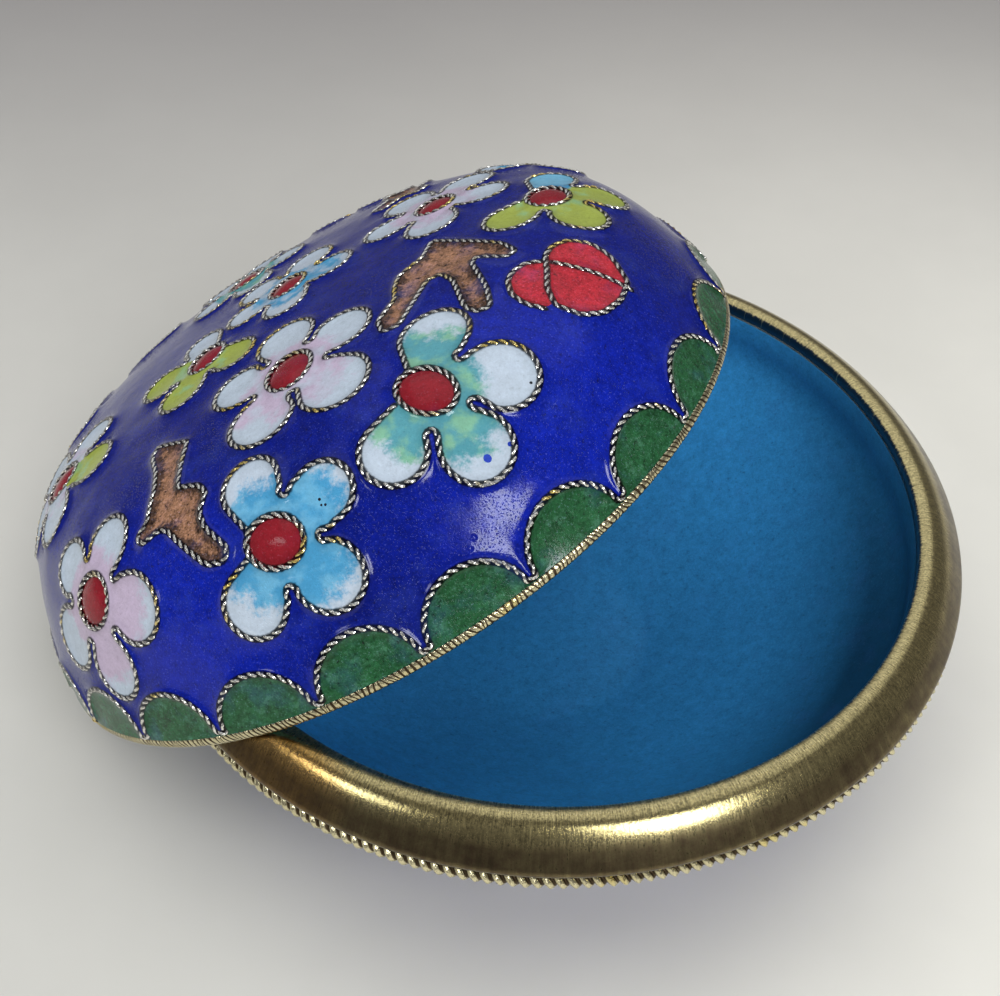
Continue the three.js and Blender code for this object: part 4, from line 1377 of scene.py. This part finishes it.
class BOX_OT_base_wires(bpy.types.Operator):
    """Lays the rope and the row of scallops under the collar"""
    bl_idname = "trinket_box.base_wires"
    bl_label = "Base wires"

    def execute(self, context):
        settings = settings_of(context)
        strand, offset, pitch = (size * MM for size in BASE_ROPE)
        turn = wire_turn(strand, offset, pitch)
        path = circle_path(BOWL_RADIUS + 0.5, BOWL_SHOULDER - 0.15)
        rope = laid_wire("base_rope", turn, pitch, path * MM, True)
        out = path * [1, 1, 0]
        mark_height(rope, path * MM, out / np.linalg.norm(out, axis=1)[:, None])
        rope.data.materials.append(bpy.data.materials["Gilt rope"])
        finish_piece(rope, "base_rim_wire")
        bpy.data.objects.remove(turn)
        turn = wire_turn(settings.strand_radius, settings.strand_offset, settings.twist_pitch)
        points, normals = self.bowl_scallops()
        wire = laid_wire("base_scallop_wire_twisted", turn, settings.twist_pitch, points * MM, True)
        mark_height(wire, points * MM, normals)
        wire.data.materials.append(bpy.data.materials["Gilt wire"])
        finish_piece(wire, "base_scallop_wire")
        bpy.data.objects.remove(turn)
        return {"FINISHED"}

    @staticmethod
    def bowl_scallops():
        turns, heights = scallop_row()
        ball = math.hypot(BOWL_FOOT_RADIUS, ball_centre())
        shoulder = math.asin((ball_centre() - BOWL_SHOULDER) / ball)
        fall = shoulder + (ROPE_HEIGHT / 2 + SCALLOP_FOOT + heights) / ball
        level = np.cos(fall)
        normals = np.column_stack([level * np.cos(turns), level * np.sin(turns), -np.sin(fall)])
        points = (ball + 0.1) * normals + [0, 0, ball_centre()]
        points = soften(resample(points, True, PATH_STEP), True, 3)
        normals = points - [0, 0, ball_centre()]
        return points, normals / np.linalg.norm(normals, axis=1)[:, None]


class BOX_OT_lid_enamel(bpy.types.Operator):
    """Lays the lid's glass between its wires and closes the lid with its lining"""
    bl_idname = "trinket_box.lid_enamel"
    bl_label = "Lid enamel"

    def execute(self, context):
        mesh, radius, height = lid_enamel_mesh(lid_drawings(), settings_of(context))
        outside = len(mesh.polygons)
        lid = bpy.data.objects.new("lid_enamel", mesh)
        context.scene.collection.objects.link(lid)
        select_only(lid)
        close_lid(lid, radius, height)
        mesh.materials.append(bpy.data.materials["Lid enamel"])
        mesh.materials.append(bpy.data.materials["Turquoise lining"])
        for face in mesh.polygons[outside:]:
            face.material_index = 1
        finish_piece(lid, "lid_shell", lid_place())
        return {"FINISHED"}


WIRE_LIFT = 0.11


class BOX_OT_lid_wires(bpy.types.Operator):
    """Lays the twisted wires of the flowers, branches, buds and scallops on the lid"""
    bl_idname = "trinket_box.lid_wires"
    bl_label = "Lid wires"

    def execute(self, context):
        settings = settings_of(context)
        place = lid_place()
        turn = wire_turn(settings.strand_radius, settings.strand_offset, settings.twist_pitch)
        for node, (points, closed) in lid_drawings().items():
            normals = dome_normal(points)
            path = (points + WIRE_LIFT * normals) * MM
            wire = laid_wire(f"{node}_twisted", turn, settings.twist_pitch, path, closed)
            mark_height(wire, path, normals)
            wire.data.materials.append(bpy.data.materials["Gilt wire"])
            finish_piece(wire, node, place)
        bpy.data.objects.remove(turn)
        return {"FINISHED"}


class BOX_OT_lid_rope(bpy.types.Operator):
    """Lays the flattened rope round the lid's edge"""
    bl_idname = "trinket_box.lid_rope"
    bl_label = "Lid rope"

    def execute(self, context):
        strand, offset, pitch = (size * MM for size in LID_ROPE)
        turn = wire_turn(strand, offset, pitch)
        path = circle_path(LID_RADIUS - 0.38, RIM_WIRE_HEIGHT / 2 + 0.06)
        rope = laid_wire("lid_rope", turn, pitch, path * MM, True)
        out = path * [1, 1, 0]
        mark_height(rope, path * MM, out / np.linalg.norm(out, axis=1)[:, None])
        flatten_rope(rope, 0.0, RIM_WIRE_HEIGHT + 0.16, LID_RADIUS - 0.05)
        rope.data.materials.append(bpy.data.materials["Gilt rope"])
        finish_piece(rope, "lid_rim_wire", lid_place())
        bpy.data.objects.remove(turn)
        return {"FINISHED"}


# Each light: turn, rise, distance, size across and up, power, and whether it is seen in
# reflections and lights surfaces. One that is only for surfaces stands farther off
LIGHTS = {
    "ceiling": (90, 85, 0.75, (0.94, 0.75), 3.8, False, True),
    "front fill": (-100, 22, 0.7, (0.93, 0.35), 0.95, False, True),
    "left fill": (170, 35, 0.7, (0.47, 0.47), 0.9, False, True),
    "window glow": (-57, 43, 0.75, (0.3, 0.3), 2.2, False, True),
    "back sheen": (92, 64, 0.6, (0.9, 0.85), 1.15, True, False),
    "window": (-57, 43, 0.6, (0.14, 0.24), 1.7, True, False),
    "far window": (-141, 39.5, 0.6, (0.15, 0.08), 0.3, True, True),
}
LIGHT_COLOUR = (0.94, 0.97, 1.0)
ROOM_COLOUR = srgb(222, 220, 224)
ROOM_STRENGTH = 0.22
FLOOR_SIZE = 3.0


def area_light(name, turn, rise, distance, size, power, glossy, diffuse):
    """A soft panel light, placed by its direction from the box in degrees and turned towards it."""
    azimuth, elevation = math.radians(turn), math.radians(rise)
    level = math.cos(elevation)
    away = Vector((level * math.cos(azimuth), level * math.sin(azimuth), math.sin(elevation)))
    bpy.ops.object.light_add(type="AREA", location=away * distance + Vector((0, 0, 0.02)))
    light = bpy.context.object
    light.name = light.data.name = name
    light.data.shape = "RECTANGLE"
    light.data.size, light.data.size_y = size
    light.data.energy = power
    light.data.color = LIGHT_COLOUR
    light.visible_glossy = glossy
    light.visible_diffuse = diffuse
    light.rotation_euler = away.to_track_quat("Z", "Y").to_euler()


class BOX_OT_stage(bpy.types.Operator):
    """Sets the pale floor, the soft lights and the camera"""
    bl_idname = "trinket_box.stage"
    bl_label = "Stage"

    def execute(self, context):
        bpy.ops.object.select_all(action="DESELECT")
        bpy.ops.mesh.primitive_plane_add(size=FLOOR_SIZE, location=(0, 0, 0))
        floor = context.object
        floor.name = "floor"
        floor.data.materials.append(floor_material())
        world = bpy.data.worlds.new("Room")
        world.use_nodes = True
        room = world.node_tree.nodes["Background"].inputs
        room["Color"].default_value = ROOM_COLOUR
        room["Strength"].default_value = ROOM_STRENGTH
        context.scene.world = world
        for name, light in LIGHTS.items():
            area_light(name, *light)
        context.scene.view_settings.view_transform = "Standard"
        self.add_camera(context)
        return {"FINISHED"}

    @staticmethod
    def add_camera(context):
        bpy.ops.object.camera_add()
        camera = context.object
        camera.data.lens = CAMERA_LENS
        camera.data.sensor_width = CAMERA_SENSOR
        camera.data.clip_start = 0.01
        back = Vector((0, -math.cos(CAMERA_ELEVATION), math.sin(CAMERA_ELEVATION)))
        up = Vector((0, math.sin(CAMERA_ELEVATION), math.cos(CAMERA_ELEVATION)))
        right = Vector((1, 0, 0))
        across = math.cos(CAMERA_ROLL) * right + math.sin(CAMERA_ROLL) * up
        upward = -math.sin(CAMERA_ROLL) * right + math.cos(CAMERA_ROLL) * up
        turn = Matrix((across, upward, back)).transposed().to_4x4()
        turn.translation = (Vector(CAMERA_TARGET) + back * CAMERA_DISTANCE) * MM
        camera.matrix_world = turn
        context.scene.camera = camera


class BOX_PT_panel(bpy.types.Panel):
    """Lists the steps that dress the box, and its sizes and colours"""
    bl_label = "Trinket box"
    bl_idname = "BOX_PT_panel"
    bl_space_type = "VIEW_3D"
    bl_region_type = "UI"
    bl_category = "Trinket box"

    def draw(self, context):
        for step in STEPS:
            self.layout.operator(step.bl_idname)
        settings = settings_of(context)
        for name in settings.bl_rna.properties.keys()[2:]:
            self.layout.prop(settings, name)


STEPS = (
    BOX_OT_finishes, BOX_OT_base_bowl, BOX_OT_collar, BOX_OT_base_wires, BOX_OT_lid_enamel,
    BOX_OT_lid_wires, BOX_OT_lid_rope, BOX_OT_stage)
CLASSES = (TrinketBoxSettings, *STEPS, BOX_PT_panel)


def register():
    for cls in CLASSES:
        bpy.utils.register_class(cls)
    bpy.types.Scene.trinket_box = PointerProperty(type=TrinketBoxSettings)


def unregister():
    del bpy.types.Scene.trinket_box
    for cls in reversed(CLASSES):
        bpy.utils.unregister_class(cls)


def main():
    register()
    bpy.ops.trinket_box.finishes()
    bpy.ops.trinket_box.base_bowl()
    bpy.ops.trinket_box.collar()
    bpy.ops.trinket_box.base_wires()
    bpy.ops.trinket_box.lid_enamel()
    bpy.ops.trinket_box.lid_wires()
    bpy.ops.trinket_box.lid_rope()
    bpy.ops.trinket_box.stage()


if __name__ == "__main__":
    main()
